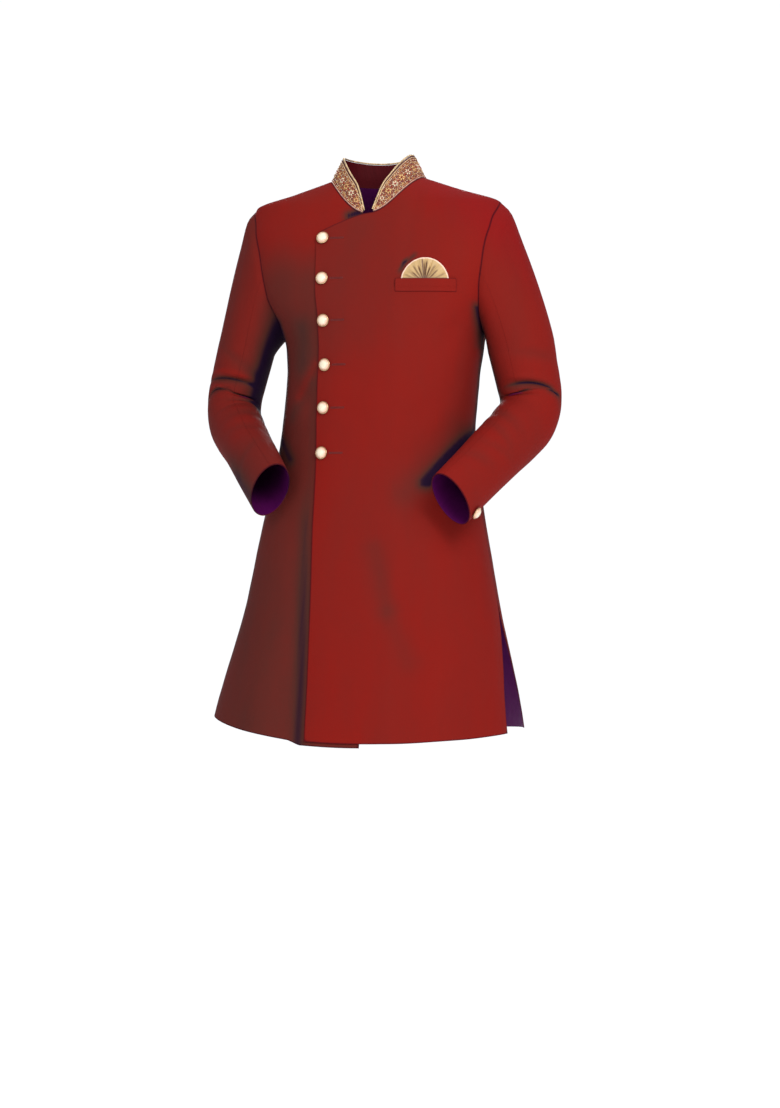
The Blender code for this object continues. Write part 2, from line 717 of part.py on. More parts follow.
def piping_mesh(name, outer, inner):
    """Make a thin cord along the collar's top edge, from one front end to the other."""
    middles = [(outer[j][-1] + inner[j][-1]) / 2 for j in range(len(outer))]
    rings = []
    for j, middle in enumerate(middles):
        along = (middles[min(j + 1, len(middles) - 1)] - middles[max(j - 1, 0)]).normalized()
        through = (outer[j][-1] - inner[j][-1]).normalized()
        up = along.cross(through).normalized()
        if up.dot(outer[j][-1] - outer[j][0]) < 0:
            up = -up
        centre = middle + up * (PIPING_RADIUS + PIPING_LIFT)
        turns = [2 * pi * (k + 0.5) / PIPING_SIDES for k in range(PIPING_SIDES)]
        rings.append([centre + (up * cos(t) + through * sin(t)) * PIPING_RADIUS for t in turns])
    bm = bmesh.new()
    verts = [[bm.verts.new(point) for point in ring] for ring in rings]
    for here, there in zip(verts, verts[1:]):
        for k in range(PIPING_SIDES):
            following = (k + 1) % PIPING_SIDES
            bm.faces.new([here[k], here[following], there[following], there[k]])
    bm.faces.new(verts[0])
    bm.faces.new(list(reversed(verts[-1])))
    bmesh.ops.recalc_face_normals(bm, faces=bm.faces)
    mesh = bpy.data.meshes.new(name)
    bm.to_mesh(mesh)
    bm.free()
    mesh.shade_smooth()
    return mesh


# ---- Buttons ----

def button_mesh():
    """Turn a domed button with its shank, from the axis at the top round to the axis below."""
    top = SHANK_HEIGHT + BUTTON_RIM
    profile = []
    for k in range(DOME_STEPS + 1):
        turn = pi / 2 * k / DOME_STEPS
        profile.append((BUTTON_RADIUS * sin(turn), top + BUTTON_DOME * cos(turn)))
    profile.append((BUTTON_RADIUS * BUTTON_UNDERSIDE, SHANK_HEIGHT))
    profile.append((SHANK_RADIUS, SHANK_HEIGHT))
    profile.append((SHANK_RADIUS, 0))
    profile.append((0, 0))
    bm = bmesh.new()
    verts = [bm.verts.new((radius, 0, height)) for radius, height in profile]
    edges = [bm.edges.new(pair) for pair in zip(verts, verts[1:])]
    bmesh.ops.spin(bm, geom=verts + edges, cent=(0, 0, 0), axis=(0, 0, 1), angle=2 * pi,
                   steps=BUTTON_SIDES, use_merge=False, use_duplicate=False)
    bmesh.ops.remove_doubles(bm, verts=bm.verts, dist=0.01 * MM)
    bmesh.ops.recalc_face_normals(bm, faces=bm.faces)
    mesh = bpy.data.meshes.new("button")
    bm.to_mesh(mesh)
    bm.free()
    mesh.shade_smooth()
    mesh.set_sharp_from_angle(angle=radians(SHARP_ANGLE))
    return mesh


def place_button(name, mesh, material, point, normal):
    button = bpy.data.objects.new(name, mesh)
    bpy.context.scene.collection.objects.link(button)
    button.location = point + normal * SEAM_GAP
    button.rotation_mode = "QUATERNION"
    button.rotation_quaternion = normal.to_track_quat("Z", "Y")
    if not mesh.materials:
        mesh.materials.append(material)
    return button


def cuff_button_spot(arm):
    """The point and normal just beside the outer seam of the sleeve, near its end."""
    angle = radians(CUFF_BUTTON_ANGLE[arm.name])
    point = arm.point(CUFF_BUTTON_PLACE, angle)
    near, far = CUFF_BUTTON_PLACE - 0.01, CUFF_BUTTON_PLACE + 0.01
    along = arm.point(far, angle) - arm.point(near, angle)
    round_it = arm.point(near, angle - 0.05) - arm.point(near, angle + 0.05)
    return point, arm.hand * along.cross(round_it).normalized()


# ---- Breast pocket ----

def welt_lift(height):
    """How far the welt's back stands off the front: more at its top, over the folded square."""
    ramp = (WELT_Z[1] - WELT_Z[0]) / WELT_STEPS[1]
    return mix(SEAM_GAP, 2 * SEAM_GAP + SQUARE_WALL, ease(height / ramp - 1))


def welt_grid():
    outer, inner = [], []
    for c in range(WELT_STEPS[0] + 1):
        x = mix(*WELT_X, c / WELT_STEPS[0])
        outer_line, inner_line = [], []
        for r in range(WELT_STEPS[1] + 1):
            z = mix(*WELT_Z, r / WELT_STEPS[1])
            point, normal = cloth_point("front", x, z, True)
            back = welt_lift(z - WELT_Z[0])
            inner_line.append(point + normal * back)
            outer_line.append(point + normal * (back + WELT_WALL))
        outer.append(outer_line)
        inner.append(inner_line)
    return outer, inner


def square_height(angle, spread, z):
    """How far the square's face stands off its back: gathers that fade behind the welt."""
    shown = ease((z - WELT_Z[1] - GATHERS_START) / GATHERS_START)
    wave = 0.5 + 0.5 * cos(2 * SQUARE_GATHERS * angle + 0.6 * sin(3 * angle))
    return SQUARE_WALL + GATHER_DEPTH * wave * shown * ease(spread * 1.5) * (1 - 0.35 * spread ** 4)


def square_grid():
    low = WELT_Z[1] - SQUARE_TUCK
    outer, inner = [], []
    for c in range(SQUARE_STEPS[0] + 1):
        angle = pi * c / SQUARE_STEPS[0]
        outer_line, inner_line = [], []
        for r in range(SQUARE_STEPS[1] + 1):
            spread = mix(SQUARE_CORE, 1.0, r / SQUARE_STEPS[1])
            x = SQUARE_CENTRE_X + SQUARE_HALF_WIDTH * spread * cos(angle)
            z = low + (SQUARE_HEIGHT + SQUARE_TUCK) * spread * sin(angle)
            point, normal = cloth_point("front", x, z, True)
            inner_line.append(point + normal * SEAM_GAP)
            outer_line.append(point + normal * (SEAM_GAP + square_height(angle, spread, z)))
        outer.append(outer_line)
        inner.append(inner_line)
    return outer, inner


# ---- The coat ----

def material(name, colour, roughness, metallic):
    made = bpy.data.materials.new(name)
    made.use_nodes = True
    shader = made.node_tree.nodes["Principled BSDF"]
    shader.inputs["Base Color"].default_value = (*colour, 1)
    shader.inputs["Roughness"].default_value = roughness
    shader.inputs["Metallic"].default_value = metallic
    return made


def build():
    for old in list(bpy.data.objects):
        bpy.data.objects.remove(old)
    cloth = material("maroon_cloth", (0.26, 0.012, 0.014), 0.62, 0.0)
    band = material("embroidered_band", (0.36, 0.10, 0.05), 0.55, 0.2)
    gold = material("gold_cord", (0.72, 0.47, 0.22), 0.35, 0.6)
    cream = material("cream_gold_cloth", (0.80, 0.66, 0.42), 0.55, 0.0)
    pearl = material("pearl_button", (0.86, 0.72, 0.56), 0.25, 0.3)

    armholes = {hand: armhole_loop(hand) for hand in (1, -1)}
    neck = collar_loop()
    panel("front_left", "front", 1, front_columns(LAP), LAP, True, armholes[1] + neck, cloth)
    panel("front_right", "front", -1, front_columns(UNDERLAP), UNDERLAP, False,
          armholes[-1] + neck, cloth)
    panel("back", "back", 1, back_columns(), LAP, False, armholes[1] + armholes[-1] + neck, cloth)

    half = ROWS_ABOVE_UNDERARM
    for name in ("left", "right"):
        arm = Arm(name)
        grid = sleeve_grid(arm)
        sleeve_piece("top_sleeve_" + name, grid, FRONT_SEAM_STEP, half + BACK_SEAM_STEP, cloth)
        sleeve_piece("under_sleeve_" + name, grid, half + BACK_SEAM_STEP,
                     2 * half + FRONT_SEAM_STEP, cloth)

    collar = collar_grid()
    add_object("collar", wall_mesh("collar", *collar), band)
    add_object("collar_piping", piping_mesh("collar_piping", *collar), gold)
    add_object("pocket_welt", wall_mesh("pocket_welt", *welt_grid()), cloth)
    add_object("pocket_square", wall_mesh("pocket_square", *square_grid()), cream)

    button = button_mesh()
    for k, spot in enumerate(BUTTON_ROWS):
        x = column_x("front", 1, -1.0, LAP, spot.z) + spot.inset
        place_button(f"front_button_{k + 1}", button, pearl, *cloth_point("front", x, spot.z, True))
    for name in ("left", "right"):
        place_button("cuff_button_" + name, button, pearl, *cuff_button_spot(Arm(name)))


build()
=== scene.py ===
"""A knee-length sherwani coat: its cloth, embroidered collar, buttons, pocket and studio.

Metres, +Z up. The coat faces -Y and the wearer's left is +X. The origin is midway between the
points where the shoulder seams meet the collar. Each cloth piece follows the form of its solid,
from the same sizes, with finer folds, rounded edges and its own finish.
"""
import bpy
import bmesh
from bisect import bisect_left
from math import acos, asin, atan2, cos, degrees, exp, floor, pi, radians, sin, sqrt, tan
from types import SimpleNamespace
from mathutils import Matrix, Vector, noise


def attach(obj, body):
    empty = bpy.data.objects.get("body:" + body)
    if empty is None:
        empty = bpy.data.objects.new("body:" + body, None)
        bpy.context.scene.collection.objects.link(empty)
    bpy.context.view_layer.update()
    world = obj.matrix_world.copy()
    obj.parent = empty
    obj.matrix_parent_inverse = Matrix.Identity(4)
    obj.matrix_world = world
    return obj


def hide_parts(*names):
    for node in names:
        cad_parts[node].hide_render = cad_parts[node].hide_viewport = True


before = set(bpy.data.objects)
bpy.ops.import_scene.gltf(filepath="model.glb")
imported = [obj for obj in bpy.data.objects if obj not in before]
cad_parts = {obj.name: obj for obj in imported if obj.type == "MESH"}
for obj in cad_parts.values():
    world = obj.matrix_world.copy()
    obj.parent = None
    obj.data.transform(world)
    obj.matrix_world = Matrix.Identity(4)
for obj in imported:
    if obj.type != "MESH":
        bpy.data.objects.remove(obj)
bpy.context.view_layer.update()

# ======== Sizes, as the solids have them ========

MM = 0.001
TURN = 2 * pi
SEAM_GAP = 0.3 * MM
WALL = 1.6 * MM
COLLAR_WALL = 2.4 * MM
MITRE_LIMIT = 3.0
SHARP_ANGLE = 50
NORMAL_STEP = 0.4 * MM
HALVINGS = 30

# Neck, shoulder and armhole
NECK_HALF_WIDTH = 85 * MM
NECK_DROP_FRONT = 69 * MM
NECK_DROP_BACK = 6 * MM
NECK_ROUNDNESS = 1.15
SHOULDER_TIP_Z = -47 * MM
UNDERARM_Z = -275 * MM
ARMHOLE_REACH = {"front": 74 * MM, "back": 78 * MM}
ARMHOLE_FULLNESS = 1.25
ARMHOLE_LEAN = 0.2

# Closing at the front
LAP = 85 * MM
LAP_EDGE_COLUMNS = ("z", "inset")
LAP_EDGE = {
    "hem": (-1.000, 0.0190),
    "skirt": (-0.880, 0.0145),
    "slit": (-0.740, 0.0105),
    "seat": (-0.600, 0.0095),
    "below_waist": (-0.500, 0.0070),
    "waist": (-0.420, 0.0020),
    "ribs": (-0.350, -0.0015),
    "chest": (-0.270, -0.0030),
    "top": (-0.100, -0.0040),
}
LAP_CORNER_DROP = 35 * MM
LAP_CORNER_RADIUS = 8 * MM
LAP_CURVE = 1.3
UNDERLAP = 32 * MM
UNDERLAP_DROP = 16 * MM
UNDERLAP_HEM_DROP = 6.5 * MM
UNDERLAP_HEM_X = -120 * MM
UNDERLAP_HEM_RUN = 30 * MM
LAYER_GAP = 0.95 * MM
LAYER_LIFT = WALL + LAYER_GAP
LIFT_ENDS = (52 * MM, 85 * MM)

# Hem and side slits
HEM_Z = {"front": -989 * MM, "back": -984 * MM}
HEM_SIDE_RISE = 22 * MM
HEM_TILT = 8 * MM
SLIT_TOP_Z = -740 * MM
SLIT_BOTTOM_Z = -980 * MM
SLIT_SWING = {"front_left": -9 * MM, "back_left": 13 * MM,
              "front_right": 18 * MM, "back_right": 8 * MM}
SLIT_PARTING = {"front": 20 * MM, "back": 32 * MM}

# Levels of the body, from the hem up: each row is one horizontal section.
BODY_COLUMNS = ("z", "half_width", "front_y", "back_y", "side_y", "centre_x", "squareness")
BODY = {
    "hem": (-1.000, 0.270, -0.206, 0.176, -0.018, -0.016, 2.15),
    "skirt": (-0.860, 0.247, -0.176, 0.156, -0.014, -0.012, 2.20),
    "slit": (-0.740, 0.2245, -0.157, 0.142, -0.010, -0.009, 2.25),
    "seat": (-0.620, 0.2015, -0.146, 0.132, -0.006, -0.0075, 2.30),
    "below_waist": (-0.530, 0.184, -0.136, 0.117, 0.000, -0.004, 2.30),
    "waist": (-0.440, 0.1725, -0.129, 0.107, 0.004, 0.000, 2.35),
    "ribs": (-0.360, 0.1710, -0.127, 0.115, 0.012, 0.006, 2.45),
    "chest": (-0.300, 0.1755, -0.126, 0.125, 0.017, 0.009, 2.50),
    "underarm": (-0.275, 0.1805, -0.1248, 0.127, 0.016, 0.008, 2.55),
    "armhole_low": (-0.250, 0.1875, -0.1235, 0.128, 0.013, 0.007, 2.65),
    "armhole_middle": (-0.207, 0.2085, -0.119, 0.128, 0.008, 0.003, 2.75),
    "armhole_high": (-0.150, 0.2265, -0.109, 0.122, 0.003, 0.002, 2.80),
    "shoulder_blade": (-0.100, 0.231, -0.093, 0.109, -0.002, 0.000, 2.80),
    "collar_bone": (-0.069, 0.2285, -0.078, 0.098, -0.005, 0.000, 2.60),
    "shoulder_tip": (-0.047, 0.222, -0.069, 0.087, -0.006, 0.000, 2.50),
    "shoulder_middle": (-0.0235, 0.1535, -0.055, 0.071, -0.003, 0.000, 2.45),
    "neck": (0.000, 0.085, -0.036, 0.055, 0.000, 0.000, 2.40),
}

# Soft folds: a line from one (x, z) to another, its half width and its depth (a trough is negative).
FOLD_COLUMNS = ("side", "x_top", "z_top", "x_bottom", "z_bottom", "width", "depth")
FOLDS = {
    "drag_right_front": ("front", -0.150, -0.350, -0.075, -0.430, 0.016, -0.0022),
    "drag_left_front": ("front", 0.150, -0.360, 0.085, -0.450, 0.018, -0.0018),
    "flute_right_front": ("front", -0.165, -0.700, -0.185, -1.000, 0.032, 0.0060),
    "hollow_right_front": ("front", -0.105, -0.740, -0.115, -1.000, 0.030, -0.0045),
    "flute_left_front": ("front", 0.130, -0.700, 0.150, -1.000, 0.034, 0.0050),
    "hollow_left_front": ("front", 0.195, -0.760, 0.205, -1.000, 0.024, -0.0040),
    "waist_back_right": ("back", -0.135, -0.415, -0.040, -0.450, 0.016, -0.0022),
    "waist_back_left": ("back", 0.140, -0.430, 0.050, -0.470, 0.017, -0.0025),
    "flute_back_right": ("back", -0.110, -0.620, -0.135, -1.000, 0.036, 0.0080),
    "hollow_back": ("back", -0.010, -0.640, -0.015, -1.000, 0.040, -0.0065),
    "flute_back_left": ("back", 0.095, -0.600, 0.120, -1.000, 0.038, 0.0075),
    "drag_upper_right_front": ("front", -0.128, -0.395, -0.088, -0.372, 0.007, -0.0013),
    "drag_lower_right_front": ("front", -0.135, -0.470, -0.086, -0.430, 0.009, -0.0014),
    "hang_right_front": ("front", -0.118, -0.560, -0.104, -0.985, 0.014, -0.0030),
    "hang_left_front": ("front", 0.030, -0.640, 0.058, -0.840, 0.024, -0.0020),
    "armhole_left_front": ("front", 0.178, -0.235, 0.120, -0.330, 0.014, -0.0020),
    "armhole_right_front": ("front", -0.166, -0.225, -0.130, -0.330, 0.013, -0.0020),
    "pull_third_button": ("front", -0.058, -0.262, 0.010, -0.300, 0.010, -0.0008),
    "pull_fourth_button": ("front", -0.055, -0.338, 0.030, -0.372, 0.011, -0.0010),
    "pull_fifth_button": ("front", -0.052, -0.412, 0.020, -0.440, 0.010, -0.0009),
    "blade_back_right": ("back", -0.175, -0.240, -0.120, -0.340, 0.014, -0.0020),
    "blade_back_left": ("back", 0.172, -0.235, 0.112, -0.345, 0.015, -0.0022),
    "waist_back_low": ("back", -0.100, -0.505, 0.030, -0.480, 0.013, -0.0014),
}
CRUMPLE = 1.2 * MM
SWELL_SCALE = (7, 7, 4.5)
RIPPLE_SCALE = (21, 21, 34)
RIPPLE_SHIFT = (7, 3, 5)
RIPPLE_SHARE = 0.25
WAIST_RIPPLE_SHARE = 0.5
WAIST_RIPPLE_Z = -0.42
WAIST_RIPPLE_RUN = 0.12
DRAG_FADE = 0.36
FLUTE_FADE = 1.4

# Arms: the line that each sleeve follows, and its size across the bend (side) and in it (bend).
ARMS = {
    "left": {"shoulder": (0.229, 0.000, -0.160), "elbow": (0.275, 0.034, -0.416),
             "cuff": (0.171, -0.180, -0.572), "outward": 1},
    "right": {"shoulder": (-0.211, 0.000, -0.160), "elbow": (-0.288, 0.036, -0.412),
              "cuff": (-0.151, -0.170, -0.554), "outward": -1},
}
ELBOW_RADIUS = 66 * MM
BICEP_BELOW_SHOULDER = 142 * MM
SLEEVE_COLUMNS = ("place", "left_side", "left_bend", "right_side", "right_bend")
SLEEVE = {
    "bicep": (0.00, 0.0560, 0.0640, 0.0505, 0.0590),
    "upper": (0.16, 0.0540, 0.0600, 0.0490, 0.0560),
    "above_elbow": (0.33, 0.0510, 0.0560, 0.0470, 0.0530),
    "elbow": (0.45, 0.0490, 0.0560, 0.0450, 0.0530),
    "below_elbow": (0.62, 0.0460, 0.0530, 0.0420, 0.0480),
    "forearm": (0.82, 0.0395, 0.0515, 0.0380, 0.0500),
    "cuff": (1.00, 0.0325, 0.0515, 0.0325, 0.0515),
}
HEAD_LEAVES_DOWN = {"tip": 0.85, "underarm": 0.95}
HEAD_REACH = {"start": 0.42, "end": 0.60}
HEAD_RIDGE = 4 * MM
HEAD_RIDGE_AT = 0.16
HEAD_RIDGE_WIDTH = 0.12
SLEEVE_PLACES = tuple(sorted({round(k / 90, 5) for k in range(91)}
                             | {round(0.1 + k / 280, 5) for k in range(53)}))

# Creases of the sleeves: place along it, angle from the outside of the elbow, spread and depth.
CREASE_COLUMNS = ("arm", "place", "angle", "spread", "slope", "arch", "length", "depth")
CREASES = {
    "left_upper": ("left", 0.178, 126, 50, -0.038, 0, 0.022, -0.0032),
    "left_lower": ("left", 0.212, 166, 36, 0.042, 0, 0.020, -0.0026),
    "left_elbow": ("left", 0.500, 178, 60, -0.020, 0, 0.034, -0.0028),
    "right_upper": ("right", 0.135, 138, 52, -0.014, 0, 0.022, -0.0032),
    "right_middle": ("right", 0.210, 112, 30, -0.031, 0, 0.020, -0.0026),
    "right_lower": ("right", 0.235, 178, 38, 0.044, 0, 0.020, -0.0030),
    "right_elbow": ("right", 0.495, 184, 60, 0.020, 0, 0.034, -0.0026),
    "left_upper_fold": ("left", 0.170, 126, 50, -0.0385, 0.028, 0.0085, -0.0040),
    "left_upper_roll": ("left", 0.142, 128, 46, -0.034, 0.020, 0.0150, 0.0032),
    "left_upper_end": ("left", 0.226, 84, 20, -0.014, 0, 0.0070, -0.0024),
    "left_lower_fold": ("left", 0.207, 164, 27, 0.030, 0.015, 0.0070, -0.0036),
    "left_lower_roll": ("left", 0.234, 158, 32, 0.032, 0.015, 0.0130, 0.0028),
    "left_lower_tuck": ("left", 0.262, 150, 24, 0.022, 0.010, 0.0090, -0.0016),
    "left_upper_arm": ("left", 0.045, 112, 60, -0.050, 0, 0.0300, -0.0018),
    "left_forearm_top": ("left", 0.600, 146, 52, -0.035, 0, 0.0300, -0.0020),
    "left_forearm_middle": ("left", 0.690, 118, 42, 0.030, 0, 0.0240, -0.0012),
    "left_forearm_end": ("left", 0.800, 136, 46, 0.030, 0, 0.0320, -0.0014),
    "left_hidden_upper": ("left", 0.400, 292, 42, 0.026, 0, 0.0140, -0.0022),
    "left_hidden_lower": ("left", 0.545, 268, 36, -0.020, 0, 0.0120, -0.0018),
    "right_upper_fold": ("right", 0.134, 132, 58, -0.0225, 0.0260, 0.0080, -0.0038),
    "right_upper_roll": ("right", 0.107, 134, 52, -0.016, 0.020, 0.0140, 0.0030),
    "right_middle_fold": ("right", 0.206, 106, 27, -0.027, 0.0120, 0.0070, -0.0034),
    "right_middle_roll": ("right", 0.184, 108, 28, -0.026, 0.0110, 0.0090, 0.0020),
    "right_lower_fold": ("right", 0.236, 178, 34, 0.045, 0, 0.0075, -0.0034),
    "right_lower_roll": ("right", 0.262, 176, 34, 0.042, 0, 0.0130, 0.0024),
    "right_elbow_ray": ("right", 0.330, 168, 40, 0.042, 0, 0.0160, -0.0014),
    "right_elbow_drag": ("right", 0.410, 158, 44, 0.028, 0, 0.0180, -0.0014),
    "right_upper_arm": ("right", 0.030, 132, 60, 0.055, 0, 0.0280, -0.0020),
    "right_forearm_top": ("right", 0.600, 150, 50, 0.046, 0, 0.0300, -0.0013),
    "right_forearm_end": ("right", 0.790, 118, 44, -0.034, 0, 0.0320, -0.0011),
    "right_hidden_upper": ("right", 0.420, 300, 40, -0.024, 0, 0.0150, -0.0023),
    "right_hidden_lower": ("right", 0.560, 274, 34, 0.022, 0, 0.0120, -0.0017),
}

# Collar
COLLAR_END_RUN = 30 * MM
COLLAR_END_SHARE = 0.12
COLLAR_TAPER = (0.765, 0.86)
COLLAR_RISE = 40 * MM
PIPING_RADIUS = 1.5 * MM
PIPING_LIFT = 0.5 * MM

# Buttons
BUTTON_RADIUS = 11 * MM
BUTTON_DOME = 5 * MM
BUTTON_RIM = 1.6 * MM
SHANK_RADIUS = 2.5 * MM
SHANK_HEIGHT = 1.8 * MM
FRONT_BUTTON_COLUMNS = ("z", "inset")
FRONT_BUTTONS = {
    "first": (-0.1135, 0.0125),
    "second": (-0.1850, 0.0135),
    "third": (-0.2585, 0.0125),
    "fourth": (-0.3360, 0.0145),
    "fifth": (-0.4110, 0.0145),
    "sixth": (-0.4900, 0.0120),
}
CUFF_BUTTON_PLACE = 0.955
CUFF_BUTTON_ANGLE = {"left": 38, "right": -12}
CUFF_BUTTON_STEP = 0.01
CUFF_BUTTON_TURN = 0.05

# Breast pocket
WELT_X = (59 * MM, 161 * MM)
WELT_Z = (-0.2115, -0.1890)
WELT_WALL = 1.4 * MM
WELT_STEPS = (48, 16)
SQUARE_CENTRE_X = 109 * MM
SQUARE_HALF_WIDTH = 41 * MM
SQUARE_HEIGHT = 36.5 * MM
SQUARE_TUCK = 8 * MM
SQUARE_WALL = 1.2 * MM
SQUARE_GATHERS = 9
GATHER_DEPTH = 2.72 * MM
GATHERS_START = 7 * MM
SQUARE_CORE = 0.12
SQUARE_STEPS = (288, 26)

# Grids: the solids' seams, in finer steps
FINER = 4
ROWS_BELOW_UNDERARM = 84
ROWS_ABOVE_UNDERARM = 11 * FINER
FRONT_STEPS = 6 * FINER
LAP_CORNER_SHARES = (0, 0.06, 0.15, 0.28, 0.45, 0.7, 1.0)
UNDERLAP_STEPS = 12
SHOULDER_STEPS = 7 * FINER
FRONT_NECK_X = (10, 11, 12.5, 14, 17, 20, 24.5, 29, 34.5, 40, 46, 51.5, 57, 62, 66.5, 71, 75, 78.5,
                82, 85)
BACK_NECK_X = (5, 10, 15, 20, 24.5, 29, 34.5, 40, 46, 51.5, 57, 62, 66.5, 71, 75, 78.5, 82, 85)
HEAD_ROWS = 6 * FINER
FRONT_SEAM_STEP = 5 * FINER
BACK_SEAM_STEP = 4 * FINER
COLLAR_ROWS = 16

# ======== Painted shade and highlights, small work and colours ===

# Painted shade along the sleeves' sharp folds: which creases count as sharp, and the line's width and
# reach.
SHARP_DEPTH = -0.0022
SHARP_LENGTH = 0.0090
FOLD_LINE_WIDTH = 1.35
FOLD_LINE_REACH = 0.85
BESIDE_FOLD_WIDTH = 2.6
BESIDE_FOLD_SHADE = 0.55

# Painted shade of the sleeves, above and below the elbow. Angles and widths are degrees round the
# sleeve.
SLEEVE_SHADE_COLUMNS = ("fold", "elbow", "elbow_run", "angle_above", "angle_below", "width_above",
                       "width_below", "inner_above", "inner_below", "overall", "overall_low",
                       "outer", "outer_low")
SLEEVE_SHADES = {
    "left": (1.00, 0.25, 0.25, 230, 230, 26, 26, 0.95, 0.45, 0.00, 0.00, 0.00, 0.00),
    "right": (0.92, 0.30, 0.22, 210, 250, 35, 30, 1.00, 1.00, 0.14, 0.16, 0.25, 0.55),
}
# Painted shade on the sleeve's outer side, growing towards the forearm
OUTER_SIDE_ANGLE = 62
OUTER_SIDE_WIDTH = 34
FOREARM_PLACE = 0.52
FOREARM_RUN = 0.3
# Painted shade in the creases' hollows, and painted highlight on their ridges
HOLLOW_SHADE = 0.30
HOLLOW_DEPTH = 0.0030
RIDGE_HIGHLIGHT = 0.45
RIDGE_HEIGHT = 0.0025

# Painted shade on the body's cloth: soft lines from one (x, z) to another. A negative depth is a
# painted highlight.
BODY_SHADE_LINE_COLUMNS = ("piece", "x_top", "z_top", "x_bottom", "z_bottom", "width", "depth")
BODY_SHADE_LINES = {
    "under_left_arm": ("front_left", 0.194, -0.438, 0.114, -0.542, 0.0145, 1.00),
    "beside_left_arm": ("front_left", 0.165, -0.450, 0.080, -0.560, 0.028, 0.30),
    "left_armpit": ("front_left", 0.190, -0.235, 0.190, -0.300, 0.0075, 0.95),
    # Painted shade of soft folds in the skirt
    "skirt_shade_upper": ("front_left", 0.028, -0.655, 0.052, -0.760, 0.016, 0.24),
    "skirt_shade_lower": ("front_left", 0.060, -0.770, 0.095, -0.850, 0.020, 0.18),
    "chest_cast": ("front_left", -0.035, -0.100, -0.030, -0.250, 0.085, 0.24),
    "square_shadow_left": ("front_left", 0.0665, -0.1765, 0.0735, -0.1600, 0.0040, 0.75),
    "square_shadow_top": ("front_left", 0.0735, -0.1600, 0.0900, -0.1490, 0.0036, 0.62),
    "collar_cast": ("front_right", -0.015, -0.066, -0.034, -0.072, 0.0105, 1.0),
    "chest_shadow": ("front_right", -0.112, -0.270, -0.110, -0.335, 0.022, 0.30),
    "drag_light": ("front_right", -0.085, -0.334, -0.122, -0.390, 0.0085, -0.36),
    "drag_dark": ("front_right", -0.098, -0.365, -0.135, -0.425, 0.011, 0.18),
    "beside_right_arm": ("front_right", -0.158, -0.468, -0.135, -0.500, 0.0110, 0.45),
    "right_armpit": ("front_right", -0.176, -0.255, -0.166, -0.330, 0.010, 0.40),
    "waist_cast": ("back", -0.120, -0.430, 0.100, -0.460, 0.040, 0.08),
    "back_seat": ("back", 0.010, -0.640, 0.000, -0.960, 0.030, 0.12),
}

# Painted shade beside the lap's edge on the right front, and painted shade over the whole right
# front, by where each one starts.
LAP_EDGE_SHADE_COLUMNS = ("from_edge", "width", "depth", "start_z", "growth")
LAP_EDGE_SHADES = {
    "along_edge": (0.008, 0.010, 0.15, -0.28, 0.10),
    "down_skirt": (0.018, 0.0125, 0.26, -0.52, 0.10),
}
RIGHT_FRONT_SHADE_COLUMNS = ("depth", "start_z", "growth")
RIGHT_FRONT_SHADES = {
    "whole_front": (0.46, -0.095, 0.10),
    "skirt": (0.08, -0.62, 0.2),
}

# Painted shade down the body's sides, where its cloth turns away
SIDE_TURN = radians(14)
SIDE_STEP = 20 * MM
SIDE_SAMPLES = (0.1, 0.5, 1, 2, 4, 7, 12, 20)
SIDE_SHADE_DEPTH = {1: 0.95, -1: 0.45}
SIDE_SHADE_WIDTH = 0.0045
SIDE_SHADE_TOP_Z = -0.20
SIDE_SHADE_GROWTH = 0.12
SIDE_SHADE_LOW_Z = -0.54
SIDE_SHADE_LOW_RUN = 0.1
SIDE_SHADE_LOW = 0.35

# How the pocket square's gathers wander, as waves of one size, turn, growth outwards and start
GATHER_WAVES = (
    (0.75, 3, 0, 0.7),
    (0.45, 5.3, 0, 0),
    (0.30, 4, 6, 0),
)
FINE_GATHERS = 5
FINE_GATHER_SWAY = 2.1
FINE_GATHER_SWAYS = 4
FINE_GATHER_SHARE = 0.18
FULLNESS = (0.40, 0.75)
FULLNESS_WAVE = (4.1, 1.0)
CROWN_AT_CORE = 0.4
CROWN_GROWTH = 1.4
CROWN_AT_TIPS = 0.45
TIPS_START = 0.75

# Painted shade along creases of the pocket square: the turn of its fan in degrees, how far out, and
# how dark
SQUARE_CREASE_SHADE_COLUMNS = ("turn", "reach", "strength")
SQUARE_CREASE_SHADES = {
    "right_low": (24, 0.80, 0.45),
    "right": (43, 0.62, 0.70),
    "right_middle": (58, 0.72, 0.55),
    "middle_right": (70, 0.55, 0.85),
    "middle": (84, 0.74, 1.00),
    "middle_left": (97, 0.86, 0.80),
    "left_middle": (112, 0.60, 0.90),
    "left": (126, 0.70, 0.60),
    "left_low": (141, 0.55, 0.70),
    "left_lowest": (158, 0.78, 0.40),
}
CREASE_WIDTH = 2.1
CREASE_END = 0.18
CREASE_SHADE = 1.25

# Painted shade in the square's gathers, as waves of so many turns and a start, and painted shade at
# the welt
GATHER_SHADE = 0.75
GATHER_SHADE_POWER = 1.6
GATHER_SHADE_REACH = (0.25, 1.0)
GATHER_SHADE_REACH_WAVE = (7.3, 2.0)
GATHER_SHADE_STRENGTH = (0.80, 1.70)
GATHER_SHADE_STRENGTH_WAVE = (6.1, 1.5)
GATHER_SHADE_FADE_START = 0.55
GATHER_SHADE_FADE_RUN = 0.45
TUCK_SHADE = 0.9
TUCK_SHADE_START = 0.4 * MM
TUCK_SHADE_RUN = 1.6 * MM

# The flat cut of each cloth piece, in metres and square metres
CUT_COLUMNS = ("width", "length", "area", "hangs_from")
CUTS = {
    "front_left": (0.404, 1.044, 0.337, ("back",)),
    "front_right": (0.392, 1.045, 0.294, ("back",)),
    "back": (0.690, 1.054, 0.524, ("collar",)),
    "top_sleeve_left": (0.170, 0.696, 0.100, ("front_left", "back")),
    "under_sleeve_left": (0.203, 0.648, 0.087, ("front_left", "back")),
    "top_sleeve_right": (0.155, 0.693, 0.094, ("front_right", "back")),
    "under_sleeve_right": (0.186, 0.642, 0.083, ("front_right", "back")),
}

